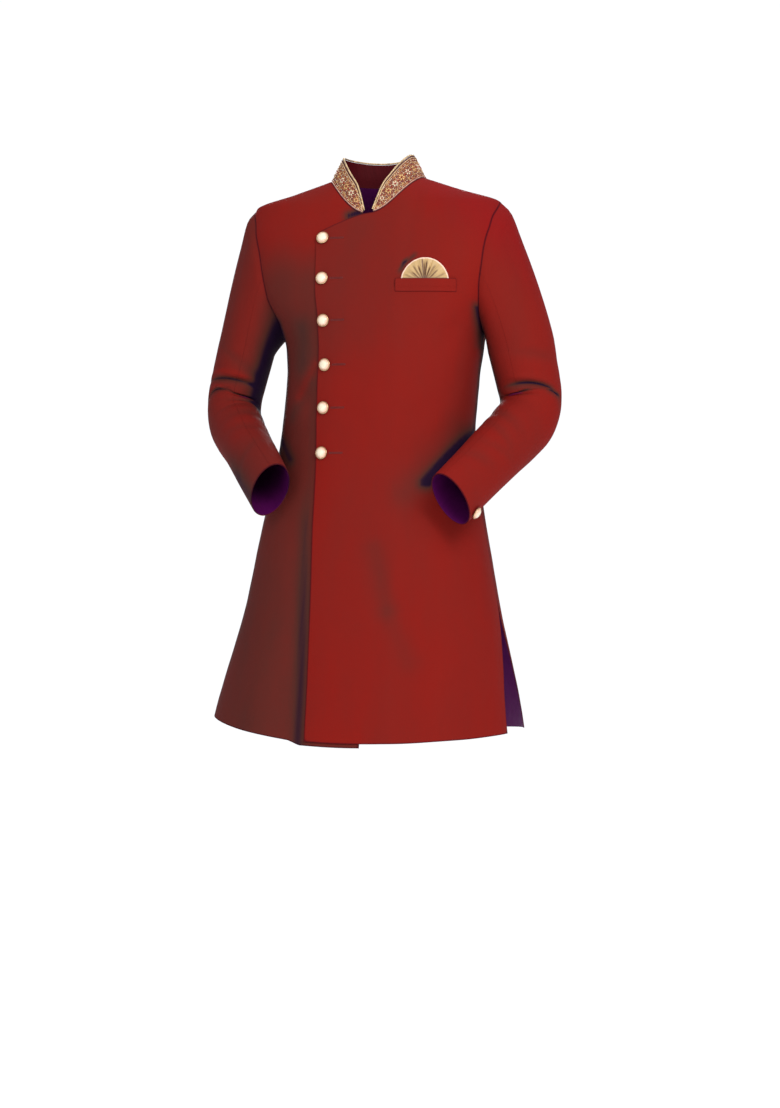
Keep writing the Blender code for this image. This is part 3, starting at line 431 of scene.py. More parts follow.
# Cords and piping of the collar
PIPING_SIDES = 12
CORD_SIDES = 8
CORD_STEPS = 260
CORD_STAND = 0.5
INNER_CORD_RADIUS = 0.75 * MM
INNER_CORD_DOWN = 3.4 * MM
SEAM_CORD_RADIUS = 1.0 * MM
SEAM_CORD_UP = 2.2 * MM

# Beadwork of the collar: a place is across and up the band, a size is across, along and high.
BAND_STEP = 0.8 * MM
BAND_STEP_UP = 0.1
NECK_MIDDLE_Y = 10 * MM
BEAD_STAND = 0.35
BEAD_BATCH = 40
MOTIF_PITCH = 17.5 * MM
PETALS = 6
PETAL_REACH = (3.7 * MM, 3.9 * MM)
PETAL_SIZE = (2.3 * MM, 1.35 * MM, 0.75 * MM)
CENTRE_SIZE = (1.5 * MM, 1.5 * MM, 1.1 * MM)
ROUND_BEAD = 8
RING_BEADS = 10
RING_REACH = (6.9 * MM, 7.2 * MM)
RING_BEAD_SIZE = (0.75 * MM, 0.75 * MM, 0.6 * MM)
LEAF_STITCHES = 4
LEAF_START = 5.0 * MM
LEAF_PITCH = 1.35 * MM
LEAF_RISE = 9.3 * MM
LEAF_WAVE = 1.5 * MM
LEAF_WAVE_TURN = 1.1
LEAF_TURN = 0.5
LEAF_TURN_STEP = 0.35
LEAF_SIZE = (1.15 * MM, 0.55 * MM, 0.5 * MM)
BUD_PLACE = (2.2 * MM, 10.6 * MM)
BUD_SIZE = (0.95 * MM, 0.95 * MM, 0.8 * MM)
COLUMN_SHIFT = 0.2 * MM
COLUMN_BEAD_COLUMNS = ("layer", "rise", "size")
COLUMN_BEADS = {
    "middle": ("red", 0, 1.35 * MM),
    "upper": ("cream", 3.6 * MM, 1.0 * MM),
    "lower": ("cream", -3.6 * MM, 1.0 * MM),
    "highest": ("cream", 7.2 * MM, 0.8 * MM),
    "lowest": ("cream", -7.2 * MM, 0.8 * MM),
}
BORDER_PITCH = 2.6 * MM
BORDER_TOP_SHARE = 0.9
BORDER_BEAD = (1.25, 1.0, 0.8)
BORDER_COLUMNS = ("up", "layers", "size")
BORDERS = {
    "low": (0.13, ("gold", "red", "cream", "copper"), 0.85 * MM),
    "high": (0.84, ("cream", "copper"), 0.8 * MM),
}

# Outline of the buttons, as shares of the radius
BUTTON_STEPS = 48
SAME_POINT = 0.01 * MM
DOME_STEPS = 12
DOME_TURN = 83
DOME_SHARE = 0.86
DOME_FOOT_SHARE = 0.865
DOME_FOOT_RISE = 0.25 * MM
RIM_STEPS = 9
RIM_TURN = 200
RIM_SHARE = 0.925
RIM_HALF_SHARE = 0.075
RIM_DROP = 0.15 * MM
RIM_RISE = 0.85 * MM
BACK_SHARES = (0.97, 0.90)
BACK_RISE = 0.3 * MM

# Stitched buttonholes beside the front buttons
HOLE_START = 13.5 * MM
HOLE_END = 37 * MM
STITCH_PITCH = 0.75 * MM
STITCH_ROW = 0.95 * MM
STITCH_SIZE = (0.42 * MM, 1.0 * MM, 0.5 * MM)
STITCH_TURN = 0.12
BAR_REACH = 0.4 * MM
BAR_SIZE = (0.55 * MM, 2.0 * MM, 0.6 * MM)

# Rounding of the pieces' edges
PANEL_EDGE = 0.7 * MM
COLLAR_EDGE = 0.4 * MM
SMALL_EDGE = 0.35 * MM
# How much narrower the painted shade along the welt's edges is
WELT_SEAM_SHADE_NARROWING = 2.6

# Patterns of the cloths, per metre: across, along and through
WEAVE_PITCH = 0.9 * MM
SLUBS = (1100.0, 26.0, 1.0)
CROSS_SLUBS = (30.0, 800.0, 1.0)
DRIFT = (11.0, 11.0, 3.6)
FLECKS = 900.0
SWELLS = 16.0
LINING_STREAKS = (700.0, 14.0, 1.0)
SILK_GRAIN = (900.0, 900.0, 220.0)
BEADS_PER_METRE = 520.0
# Width of the painted shade in the seams and along the edges
SEAM_SHADE = 3.0 * MM
PLAIN_EDGE = (2.4 * MM, 3.0 * MM)
HEM_STITCHES = (1.9 * MM, 2.5 * MM)

# How strongly each pattern tones the suiting, and how much tone it has everywhere
SLUB_TONE = 0.22
CROSS_SLUB_TONE = 0.12
DRIFT_TONE = 0.55
FLECK_TONE = 0.12
EVEN_TONE = 0.12
# How deep the painted shade goes, where its deepest navy starts, and where the painted highlight is
# full
SHADE_TONE = 1.15
DEEPEST_SHADE_FROM = 0.72
FULLY_LIT_AT = 0.5

# Painted light: where the suiting turns crimson, towards the lit left shoulder
LIT_CRIMSON_ENDS = (0.11, 0.26)
LIT_CRIMSON_Z = -0.10
LIT_CRIMSON_SLOPE = 1.1
LIT_CRIMSON_SHARE = 0.8

# Colours of the cloths, the beads and the metal
MAROON = (0.238, 0.0112, 0.0080, 1)
# Painted shade and painted light of the suiting: shaded maroon, lit crimson, lit maroon, the deepest
# navy shade and the shade in seams
SHADED_MAROON = (0.074, 0.0235, 0.0190, 1)
LIT_CRIMSON = (0.255, 0.0060, 0.0080, 1)
LIT_MAROON = (0.36, 0.032, 0.028, 1)
DEEPEST_SHADE = (0.0135, 0.0055, 0.0230, 1)
SEAM_SHADE_COLOUR = (0.022, 0.003, 0.010, 1)
SUITING_SHEEN = (0.60, 0.10, 0.20, 1)
SUITING_GLINT = (1.0, 0.45, 0.36, 1)
PURPLE = (0.055, 0.0025, 0.055, 1)
PALE_PURPLE = (0.115, 0.0050, 0.105, 1)
LINING_MAROON = (0.060, 0.003, 0.006, 1)
PALE_LINING_MAROON = (0.110, 0.006, 0.010, 1)
COPPER_RED = (0.20, 0.030, 0.020, 1)
DARK_COPPER_RED = (0.075, 0.010, 0.009, 1)
BAND_EDGE = (0.085, 0.010, 0.012, 1)
BEAD_CREAM = (0.96, 0.64, 0.34, 1)
BEAD_GOLD = (0.84, 0.41, 0.12, 1)
BEAD_COPPER = (0.76, 0.26, 0.11, 1)
BEAD_RED = (0.40, 0.030, 0.025, 1)
BEAD_KINDS = ((0.30, BEAD_GOLD), (0.58, BEAD_COPPER), (0.84, BEAD_RED))
BEAD_KIND_BLEND = 0.04
BEAD_SHADE = (0.30, 0.10, 0.06, 1)
BEAD_HOLLOW = (0.15, 0.022, 0.015, 1)
SILK_GOLD = (0.50, 0.305, 0.115, 1)
PALE_SILK = (0.66, 0.46, 0.22, 1)
# Painted shade in the pocket square's gathers and creases
SILK_CREASE_SHADE = (0.105, 0.036, 0.014, 1)
SILK_HEM = (0.93, 0.66, 0.52, 1)
SILK_SHEEN = (1.0, 0.9, 0.7, 1)
PEARL_CREAM = (0.92, 0.80, 0.56, 1)
PEARL_WHITE = (0.98, 0.92, 0.76, 1)
PEARL_PEACH = (0.84, 0.50, 0.36, 1)
GOLD_METAL = (0.93, 0.66, 0.37)
ROSE_METAL = (0.88, 0.50, 0.38)
RIM_METAL = (0.80, 0.56, 0.32)
CREAM_GLASS = (0.96, 0.76, 0.53)
RED_GLASS = (0.42, 0.015, 0.02)
GOLD_SILK = (0.92, 0.58, 0.24)
COPPER_SILK = (0.74, 0.27, 0.09)
STITCH_RED = (0.175, 0.0095, 0.0085)

# Studio
FLOOR_Z = -1.62
FLOOR_RADIUS = 3.4
FLOOR_SIDES = 160
FLOOR_GLOW = 0.35
FLOOR_TONES = ((0.90, 0.90, 0.90, 1), (0.93, 0.93, 0.93, 1))
FLOOR_PATCHES = 1.5
WORLD_LIGHT = 0.46
WORLD_WHITE = 1.06
WORLD_COLOUR = (0.96, 0.97, 1.0, 1)
CAMERA_TURN = 14
CAMERA_SHIFT = 0.0196
CAMERA_AWAY = 4.5
CAMERA_Z = -0.665
CAMERA_LENS = 82.14
CAMERA_SENSOR = 36
LIGHT_COLUMNS = ("place", "target", "size", "power", "colour")
LIGHTS = {
    "key_light": ((1.9, -2.5, 1.1), (0, 0, -0.5), (1.6, 1.6), 66, (1.0, 0.98, 0.95)),
    "front_light": ((0.0, -3.6, 0.6), (0, 0, -0.6), (2.2, 1.6), 24, (1.0, 1.0, 1.0)),
    "top_light": ((0.3, 0.2, 2.0), (0, 0, -0.3), (2.0, 1.6), 14, (1.0, 1.0, 1.0)),
    "back_light": ((-1.2, 3.2, 0.6), (0, 0, -0.5), (2.0, 1.6), 50, (1.0, 1.0, 1.0)),
}

# ======== Curves and rows from the tables ========

def smooth_curve(knots, values):
    """Return a curve through the values that never overshoots between them."""
    gaps = [b - a for a, b in zip(knots, knots[1:])]
    slopes = [(b - a) / gap for a, b, gap in zip(values, values[1:], gaps)]
    turns = [0.0] * len(knots)
    for k in range(1, len(knots) - 1):
        if slopes[k - 1] * slopes[k] > 0:
            turns[k] = 2 * slopes[k - 1] * slopes[k] / (slopes[k - 1] + slopes[k])
    turns[0] = slopes[0]
    turns[-1] = slopes[-1]

    def at(place):
        k = min(max(bisect_left(knots, place) - 1, 0), len(gaps) - 1)
        s = min(max((place - knots[k]) / gaps[k], 0.0), 1.0)
        bend = s * (1 - s) * gaps[k]
        return (values[k] + (values[k + 1] - values[k]) * s * s * (3 - 2 * s)
                + bend * ((1 - s) * turns[k] - s * turns[k + 1]))

    return at


def table_curves(table, columns):
    """Turn a table whose first column is the place into one curve for each other column."""
    rows = [[float(value) for value in row] for row in table.values()]
    knots = [row[0] for row in rows]
    return {name: smooth_curve(knots, [row[c] for row in rows])
            for c, name in enumerate(columns) if c}


def named_row(row, columns):
    """Turn one row of a table into values that are read by their columns' names."""
    return SimpleNamespace(**dict(zip(columns, row)))


def named_rows(table, columns):
    """Turn a table into a list of such rows."""
    return [named_row(row, columns) for row in table.values()]


BODY_CURVES = table_curves(BODY, BODY_COLUMNS)
LAP_INSET = table_curves(LAP_EDGE, LAP_EDGE_COLUMNS)["inset"]
BUTTON_ROWS = named_rows(FRONT_BUTTONS, FRONT_BUTTON_COLUMNS)
SLEEVE_CURVES = table_curves(SLEEVE, SLEEVE_COLUMNS)
FOLD_ROWS = named_rows(FOLDS, FOLD_COLUMNS)
CREASE_ROWS = named_rows(CREASES, CREASE_COLUMNS)
SHARP_CREASE_ROWS = [crease for crease in CREASE_ROWS
                     if crease.depth <= SHARP_DEPTH and crease.length <= SHARP_LENGTH]
SLEEVE_SHADE_ROWS = {arm: named_row(row, SLEEVE_SHADE_COLUMNS) for arm, row in SLEEVE_SHADES.items()}
BODY_SHADE_LINE_ROWS = named_rows(BODY_SHADE_LINES, BODY_SHADE_LINE_COLUMNS)
LAP_EDGE_SHADE_ROWS = named_rows(LAP_EDGE_SHADES, LAP_EDGE_SHADE_COLUMNS)
RIGHT_FRONT_SHADE_ROWS = named_rows(RIGHT_FRONT_SHADES, RIGHT_FRONT_SHADE_COLUMNS)
SQUARE_CREASE_SHADE_ROWS = named_rows(SQUARE_CREASE_SHADES, SQUARE_CREASE_SHADE_COLUMNS)
COLUMN_BEAD_ROWS = named_rows(COLUMN_BEADS, COLUMN_BEAD_COLUMNS)
BORDER_ROWS = named_rows(BORDERS, BORDER_COLUMNS)


def ease(value):
    """Go smoothly from 0 to 1 as the value does."""
    value = min(max(value, 0.0), 1.0)
    return value * value * (3 - 2 * value)


def mix(first, second, share):
    """Go from the first value to the second by this share."""
    return first + (second - first) * share


# ---- The form of the body ----

def slit_share(z):
    """How far the side slit is open at this height, from 0 to 1."""
    return ease((SLIT_TOP_Z - z) / (SLIT_TOP_Z - SLIT_BOTTOM_Z)) if z < SLIT_TOP_Z else 0.0


def half_width(side, hand, z):
    """Half the width of the section, with the swing of the panels beside the open slits."""
    swing = SLIT_SWING[side + ("_left" if hand > 0 else "_right")]
    return BODY_CURVES["half_width"](z) + swing * slit_share(z)


def hand_of(x, z):
    """1 on the wearer's left of the body's middle, -1 on the right."""
    return 1 if x >= BODY_CURVES["centre_x"](z) else -1


def depth(side, z):
    """How far the front or the back stands out from the side seams' line."""
    return abs(BODY_CURVES[side + "_y"](z) - BODY_CURVES["side_y"](z))


def armhole_edge_y(side, z):
    """How far the armhole seam lies before or behind the side line at this height."""
    rise = min(max((z - UNDERARM_Z) / (SHOULDER_TIP_Z - UNDERARM_Z), 0.0), 1.0)
    turn = acos(1 - 2 * rise)
    fullness = abs(sin(turn)) ** ARMHOLE_FULLNESS * (1 - ARMHOLE_LEAN * cos(pi - turn))
    return ARMHOLE_REACH[side] * fullness


def edge_turn(side, z):
    """The angle round the section at which a panel ends: its side seam, slit or armhole."""
    inset = SLIT_PARTING[side] * slit_share(z)
    if z > UNDERARM_Z:
        inset = armhole_edge_y(side, z)
    share = min(inset / depth(side, z), 1.0)
    return acos(share ** (BODY_CURVES["squareness"](z) / 2))


def neck_column(x):
    """The column that reaches the neckline at this distance from the centre line."""
    width = half_width("front", 1, SHOULDER_TIP_Z)
    return asin((x / width) ** (BODY_CURVES["squareness"](SHOULDER_TIP_Z) / 2)) / (pi / 2)


def level_x(side, hand, column, z):
    """The x of a column that keeps its share of the angle round this section."""
    power = 2 / BODY_CURVES["squareness"](z)
    turn = column * edge_turn(side, z)
    return BODY_CURVES["centre_x"](z) + hand * half_width(side, hand, z) * sin(turn) ** power


def column_x(side, hand, column, reach, z):
    """The x of a column: -1 is the lap's edge, 0 the centre line, 1 the side or armhole."""
    z = min(z, SHOULDER_TIP_Z)
    if column < 0:
        inset = LAP_INSET(z) if reach == LAP else 0.0
        return BODY_CURVES["centre_x"](z) + hand * column * (reach - inset)
    rise = ease((z - UNDERARM_Z) / (-NECK_DROP_FRONT - UNDERARM_Z))
    neck = neck_column(NECK_HALF_WIDTH)
    upright = rise * (1 - max(column - neck, 0) / (1 - neck))
    return mix(level_x(side, hand, column, z), level_x(side, hand, column, SHOULDER_TIP_Z), upright)


def form_point(side, x, z):
    """The point of the form at this x and height, on its front or its back."""
    power = BODY_CURVES["squareness"](z)
    width = half_width(side, hand_of(x, z), z)
    share = min(abs(x - BODY_CURVES["centre_x"](z)) / width, 1.0)
    reach = depth(side, z) * (1 - share ** power) ** (1 / power)
    return Vector((x, BODY_CURVES["side_y"](z) + (reach if side == "back" else -reach), z))


def form_measure(side, point):
    """How far out a point lies: 1 on the form itself, less inside it and more outside it."""
    power = BODY_CURVES["squareness"](point.z)
    width = half_width(side, hand_of(point.x, point.z), point.z)
    across = abs(point.x - BODY_CURVES["centre_x"](point.z)) / width
    along = abs(point.y - BODY_CURVES["side_y"](point.z)) / depth(side, point.z)
    return across ** power + along ** power


def form_normal(side, point):
    """The outward direction of the form, from how its measure grows in x, y and z."""
    grows = Vector()
    for axis in range(3):
        shift = Vector()
        shift[axis] = NORMAL_STEP
        grows[axis] = form_measure(side, point + shift) - form_measure(side, point - shift)
    return grows.normalized()


def fold_height(side, x, z):
    """The sum of the soft folds at this place of the front or the back."""
    total = 0.0
    for fold in FOLD_ROWS:
        if fold.side != side:
            continue
        run = Vector((fold.x_bottom - fold.x_top, fold.z_bottom - fold.z_top))
        offset = Vector((x - fold.x_top, z - fold.z_top))
        place = offset.dot(run) / run.length_squared
        away = abs(offset.x * run.y - offset.y * run.x) / run.length
        if fold.z_bottom > SLIT_BOTTOM_Z:
            fade = exp(-((place - 0.5) / DRAG_FADE) ** 4)
        else:
            fade = ease(place * FLUTE_FADE)
        total += fold.depth * fade * exp(-(away / fold.width) ** 2)
    return total


def crumple(point):
    """Slight unevenness of worn cloth: broad swells and, near the waist, short ripples."""
    broad = noise.noise(point * Vector(SWELL_SCALE))
    ripple = noise.noise(point * Vector(RIPPLE_SCALE) + Vector(RIPPLE_SHIFT))
    waist = exp(-((point.z - WAIST_RIPPLE_Z) / WAIST_RIPPLE_RUN) ** 2)
    return CRUMPLE * (broad + (RIPPLE_SHARE + WAIST_RIPPLE_SHARE * waist) * ripple)


# ---- Top edges and hem ----

def shoulder_z(x):
    """The height of the shoulder seam at this x."""
    low, high = SHOULDER_TIP_Z, 0.0
    for _ in range(HALVINGS):
        middle = (low + high) / 2
        if half_width("front", 1, middle) > abs(x):
            low = middle
        else:
            high = middle
    return (low + high) / 2


def neckline_z(side, x):
    """The neckline's height at this distance from the middle."""
    drop = NECK_DROP_FRONT if side == "front" else NECK_DROP_BACK
    return -drop * cos(pi / 2 * min(abs(x) / NECK_HALF_WIDTH, 1.0)) ** NECK_ROUNDNESS


def top_z(side, column, reach, x):
    """The height of a panel's top edge: the lap's shaped end, the neckline or the shoulder."""
    if column < 0 and reach == LAP:
        fall = LAP_CORNER_DROP * abs(column) ** LAP_CURVE
        from_edge = (1 + column) * reach
        inside = max(LAP_CORNER_RADIUS - from_edge, 0.0)
        corner = LAP_CORNER_RADIUS - sqrt(LAP_CORNER_RADIUS ** 2 - inside ** 2)
        return -NECK_DROP_FRONT - fall - corner
    if column < 0:
        return -NECK_DROP_FRONT - UNDERLAP_DROP * abs(column)
    if abs(x) <= NECK_HALF_WIDTH:
        return neckline_z(side, x)
    return shoulder_z(x)


def hem_z(side, x, under):
    """The hem's height at this distance from the middle."""
    share = x / BODY["hem"][1]
    hem = HEM_Z[side] + HEM_SIDE_RISE * share ** 2 - HEM_TILT * share * abs(share)
    if under:
        hem -= UNDERLAP_HEM_DROP * ease((x - UNDERLAP_HEM_X) / UNDERLAP_HEM_RUN)
    return hem


def mitre(first_normal, leaving, along, sign):
    """Where two walls meet at a seam: the step to the inner edge, and the way across the seam."""
    second_normal = sign * leaving.cross(along).normalized()
    middle = (first_normal + second_normal).normalized()
    step = -middle * WALL / max(middle.dot(first_normal), 1 / MITRE_LIMIT)
    across = (leaving - middle * leaving.dot(middle)).normalized()
    return step, across, second_normal


# ---- Panels of the body ----

def side_columns(neck_steps):
    """Columns from the neck along the shoulder to the side."""
    neck = [neck_column(x * MM) for x in neck_steps]
    shoulder = [mix(neck[-1], 1.0, k / SHOULDER_STEPS) for k in range(1, SHOULDER_STEPS + 1)]
    return neck + shoulder


def front_columns(reach):
    """Columns of a front, from its free edge to its side seam."""
    if reach == LAP:
        lap = [-1 + share * LAP_CORNER_RADIUS / reach for share in LAP_CORNER_SHARES]
        lap += [mix(lap[-1], 0, k / FRONT_STEPS) for k in range(1, FRONT_STEPS)]
    else:
        lap = [-1 + k / UNDERLAP_STEPS for k in range(UNDERLAP_STEPS)]
    return lap + [0.0] + side_columns(FRONT_NECK_X)


def back_columns():
    """Columns of the back, from one side seam to the other."""
    half = side_columns(BACK_NECK_X)
    return [-c for c in reversed(half)] + [0.0] + half


def row_heights(low, top):
    """Heights of a column's rows: even below the underarm, and as an arc above it."""
    below = [mix(low, UNDERARM_Z, k / ROWS_BELOW_UNDERARM) for k in range(ROWS_BELOW_UNDERARM)]
    steps = range(ROWS_ABOVE_UNDERARM + 1)
    return below + [mix(UNDERARM_Z, top, (1 - cos(pi * k / ROWS_ABOVE_UNDERARM)) / 2) for k in steps]


def layer_lift(x):
    """How far the upper front stands off the lower one."""
    return LAYER_LIFT * (1 - ease((x - LIFT_ENDS[0]) / (LIFT_ENDS[1] - LIFT_ENDS[0])))


def cloth_point(side, x, z, lifted):
    """A point of the outer face, with its folds, and the form's normal there."""
    point = form_point(side, x, z)
    normal = form_normal(side, point)
    rise = fold_height(side, x, z) + crumple(point)
    if lifted:
        rise += layer_lift(x)
    return point + normal * rise, normal


def armhole_loop(hand):
    """The armhole seam, from the underarm up the front and down the back."""
    steps = ROWS_ABOVE_UNDERARM
    places = [("front", k) for k in range(steps + 1)]
    places += [("back", k) for k in range(steps - 1, 0, -1)]
    spots = []
    for side, k in places:
        z = mix(UNDERARM_Z, SHOULDER_TIP_Z, (1 - cos(pi * k / steps)) / 2)
        x = column_x(side, hand, 1.0, LAP, z)
        spots.append((*cloth_point(side, x, z, False), k / steps))
    loop = []
    for j, (point, normal, share) in enumerate(spots):
        along = (spots[(j + 1) % len(spots)][0] - spots[j - 1][0]).normalized()
        height = (1 - cos(pi * share)) / 2
        down = mix(HEAD_LEAVES_DOWN["underarm"], HEAD_LEAVES_DOWN["tip"], height)
        leaving = Vector((hand, 0, -down)).normalized()
        step, across, sleeve_normal = mitre(normal, leaving, along, hand)
        loop.append({"point": point, "step": step, "across": across, "leaving": leaving,
                     "normal": sleeve_normal, "height": height})
    return loop


def collar_loop():
    """The neckline seam, from the left front end round the back to the right front end."""
    places = [("front", 1, x) for x in FRONT_NECK_X]
    places += [("back", 1, x) for x in reversed(BACK_NECK_X[:-1])] + [("back", 1, 0)]
    places += [("back", -1, x) for x in BACK_NECK_X[:-1]]
    places += [("front", -1, x) for x in reversed(FRONT_NECK_X)]
    spots = []
    for side, hand, x in places:
        x = hand * x * MM
        spots.append((*cloth_point(side, x, neckline_z(side, x), side == "front" and hand > 0), side))
    loop = []
    for j, (point, normal, side) in enumerate(spots):
        along = (spots[min(j + 1, len(spots) - 1)][0] - spots[max(j - 1, 0)][0]).normalized()
        top = Vector((point.x * COLLAR_TAPER[0], point.y * COLLAR_TAPER[1], point.z + COLLAR_RISE))
        leaving = (top - point).normalized()
        step, across, collar_normal = mitre(normal, leaving, along, -1)
        loop.append({"point": point, "step": step, "across": across, "top": top,
                     "normal": collar_normal, "side": side})
    return loop


# ---- Sleeves ----

class Arm:
    """The bent line that a sleeve follows: straight, round the elbow, straight."""

    def __init__(self, name):
        sizes = ARMS[name]
        self.name = name
        self.hand = sizes["outward"]
        self.shoulder = Vector(sizes["shoulder"])
        elbow = Vector(sizes["elbow"])
        cuff = Vector(sizes["cuff"])
        self.upper = (elbow - self.shoulder).normalized()
        self.lower = (cuff - elbow).normalized()
        self.bend = self.upper.angle(self.lower)
        self.side = (self.upper.cross(self.lower) * -self.hand).normalized()
        cut = ELBOW_RADIUS * tan(self.bend / 2)
        self.first = (elbow - self.shoulder).length - cut - BICEP_BELOW_SHOULDER
        self.arc = ELBOW_RADIUS * self.bend
        self.last = (cuff - elbow).length - cut
        self.start = self.shoulder + self.upper * BICEP_BELOW_SHOULDER
        self.outside = (self.upper * cos(self.bend) - self.lower).normalized()

    def frame(self, place):
        """Centre, direction and outside direction at this share of the length."""
        run = place * (self.first + self.arc + self.last)
        if run <= self.first:
            return self.start + self.upper * run, self.upper, self.outside
        turn = min((run - self.first) / ELBOW_RADIUS, self.bend)
        hub = self.start + self.upper * self.first - self.outside * ELBOW_RADIUS
        outside = self.outside * cos(turn) + self.upper * sin(turn)
        ahead = self.upper * cos(turn) - self.outside * sin(turn)
        centre = hub + outside * ELBOW_RADIUS
        if turn == self.bend:
            centre = centre + ahead * (run - self.first - self.arc)
        return centre, ahead, outside

    def point(self, place, angle):
        """A point of the sleeve's outer face, with its creases."""
        centre, _, outside = self.frame(place)
        side_size = SLEEVE_CURVES[self.name + "_side"](place)
        bend_size = SLEEVE_CURVES[self.name + "_bend"](place)
        spoke = outside * cos(angle) * bend_size + self.side * sin(angle) * side_size
        return centre + spoke + spoke.normalized() * crease_height(self.name, place, angle)

    def tip_angle(self):
        """The angle round the sleeve that meets the shoulder seam."""
        outward = Vector((self.hand, 0, 0))
        return atan2(outward.dot(self.side), outward.dot(self.outside))


def crease_distance(crease, place, angle):
    """How far a place lies from a crease's line along the sleeve, and from its middle round it."""
    turned = ((degrees(angle) - crease.angle + 180) % 360 - 180) / crease.spread
    along = place - crease.place - crease.slope * turned - crease.arch * turned * turned
    return along, turned


def crease_height(arm, place, angle):
    """The sum of the creases at this place of a sleeve, which run partly round it."""
    total = 0.0
    for crease in CREASE_ROWS:
        if crease.arm == arm:
            along, turned = crease_distance(crease, place, angle)
            total += crease.depth * exp(-(along / crease.length) ** 2 - turned ** 2)
    return total


def fold_shade(arm, place, angle):
    """How deep the painted shade is at the bottom of a sharp fold and beside it, from 0 to 1."""
    nearest = 0.0
    for crease in SHARP_CREASE_ROWS:
        if crease.arm == arm:
            along, turned = crease_distance(crease, place, angle)
            line = exp(-(along / (FOLD_LINE_WIDTH * crease.length)) ** 2)
            shaded = (along - crease.length) / (BESIDE_FOLD_WIDTH * crease.length)
            beside = BESIDE_FOLD_SHADE * exp(-shaded ** 2)
            nearest = max(nearest, max(line, beside) * exp(-((FOLD_LINE_REACH * turned) ** 4)))
    return nearest


def sleeve_grid(arm):
    """Outer and inner points of the whole sleeve, as [step round it][row along it]."""
    loop = armhole_loop(arm.hand)
    half = ROWS_ABOVE_UNDERARM
    outer = []
    for j, seam in enumerate(loop):
        angle = arm.tip_angle() + pi * (1 - j / half)
        start = seam["point"] + seam["across"] * SEAM_GAP
        end = arm.point(0, angle)
        reach = (end - start).length
        out_start = seam["leaving"] * reach * HEAD_REACH["start"]
        out_end = arm.upper * reach * HEAD_REACH["end"]
        line = []
        for k in range(HEAD_ROWS):
            s = k / HEAD_ROWS
            point = (start * (1 + 2 * s) * (1 - s) ** 2 + out_start * s * (1 - s) ** 2
                     + end * s * s * (3 - 2 * s) - out_end * s * s * (1 - s))
            ridge = exp(-((s - HEAD_RIDGE_AT) / HEAD_RIDGE_WIDTH) ** 2) * ease(s / HEAD_RIDGE_AT)
            line.append(point + seam["normal"] * HEAD_RIDGE * ridge * seam["height"] ** 2)
        outer.append(line + [arm.point(place, angle) for place in SLEEVE_PLACES])
    count, rows = len(outer), len(outer[0])
    inner = []
    for j in range(count):
        line = [outer[j][0] + loop[j]["step"]]
        for r in range(1, rows):
            round_it = outer[(j + 1) % count][r] - outer[j - 1][r]
            along = outer[j][min(r + 1, rows - 1)] - outer[j][r - 1]
            normal = arm.hand * along.cross(round_it).normalized()
            line.append(outer[j][r] - normal * WALL)
        inner.append(line)
    return outer, inner


# ---- Collar and its piping ----

def collar_share(point, side):
    """How much of its full height the collar has here: its front ends are rounded away."""
    if side == "back":
        return 1.0
    run = (abs(point.x) - FRONT_NECK_X[0] * MM) / COLLAR_END_RUN
    return mix(1.0, COLLAR_END_SHARE, (1 - min(max(run, 0.0), 1.0)) ** 2)


def collar_grid():
    """Outer and inner points of the collar, as [step round it][row up it]."""
    outer, inner = [], []
    for spot in collar_loop():
        base = spot["point"] + spot["across"] * SEAM_GAP
        share = collar_share(spot["point"], spot["side"])
        rise = (spot["top"] - spot["point"]) * share
        outer_line, inner_line = [], []
        for r in range(COLLAR_ROWS + 1):
            up = r / COLLAR_ROWS
            wall = mix(WALL, COLLAR_WALL, ease(up * 2))
            point = base + rise * up
            outer_line.append(point)
            step = spot["step"] if r == 0 else -spot["normal"] * wall
            inner_line.append(point + step)
        outer.append(outer_line)
        inner.append(inner_line)
    return outer, inner


def cuff_button_spot(arm):
    """The point and normal just beside the outer seam of the sleeve, near its end."""
    angle = radians(CUFF_BUTTON_ANGLE[arm.name])
    point = arm.point(CUFF_BUTTON_PLACE, angle)
    near, far = CUFF_BUTTON_PLACE - CUFF_BUTTON_STEP, CUFF_BUTTON_PLACE + CUFF_BUTTON_STEP
    along = arm.point(far, angle) - arm.point(near, angle)
    round_it = (arm.point(near, angle - CUFF_BUTTON_TURN)
                - arm.point(near, angle + CUFF_BUTTON_TURN))
    return point, arm.hand * along.cross(round_it).normalized()


# ---- Breast pocket ----

def welt_lift(height):
    """How far the welt's back stands off the front: more at its top, over the folded square."""
    ramp = (WELT_Z[1] - WELT_Z[0]) / 4
    return mix(SEAM_GAP, 2 * SEAM_GAP + SQUARE_WALL, ease(height / ramp - 1))


def welt_grid():
    """Outer and inner points of the pocket's welt."""
    outer, inner = [], []
    for c in range(WELT_STEPS[0] + 1):
        x = mix(*WELT_X, c / WELT_STEPS[0])
        outer_line, inner_line = [], []
        for r in range(WELT_STEPS[1] + 1):
            z = mix(*WELT_Z, r / WELT_STEPS[1])
            point, normal = cloth_point("front", x, z, True)
            back = welt_lift(z - WELT_Z[0])
            inner_line.append(point + normal * back)
            outer_line.append(point + normal * (back + WELT_WALL))
        outer.append(outer_line)
        inner.append(inner_line)
    return outer, inner


def zero_to_one(value):
    """Turn a wave that runs from -1 to 1 into one from 0 to 1."""
    return 0.5 + 0.5 * value


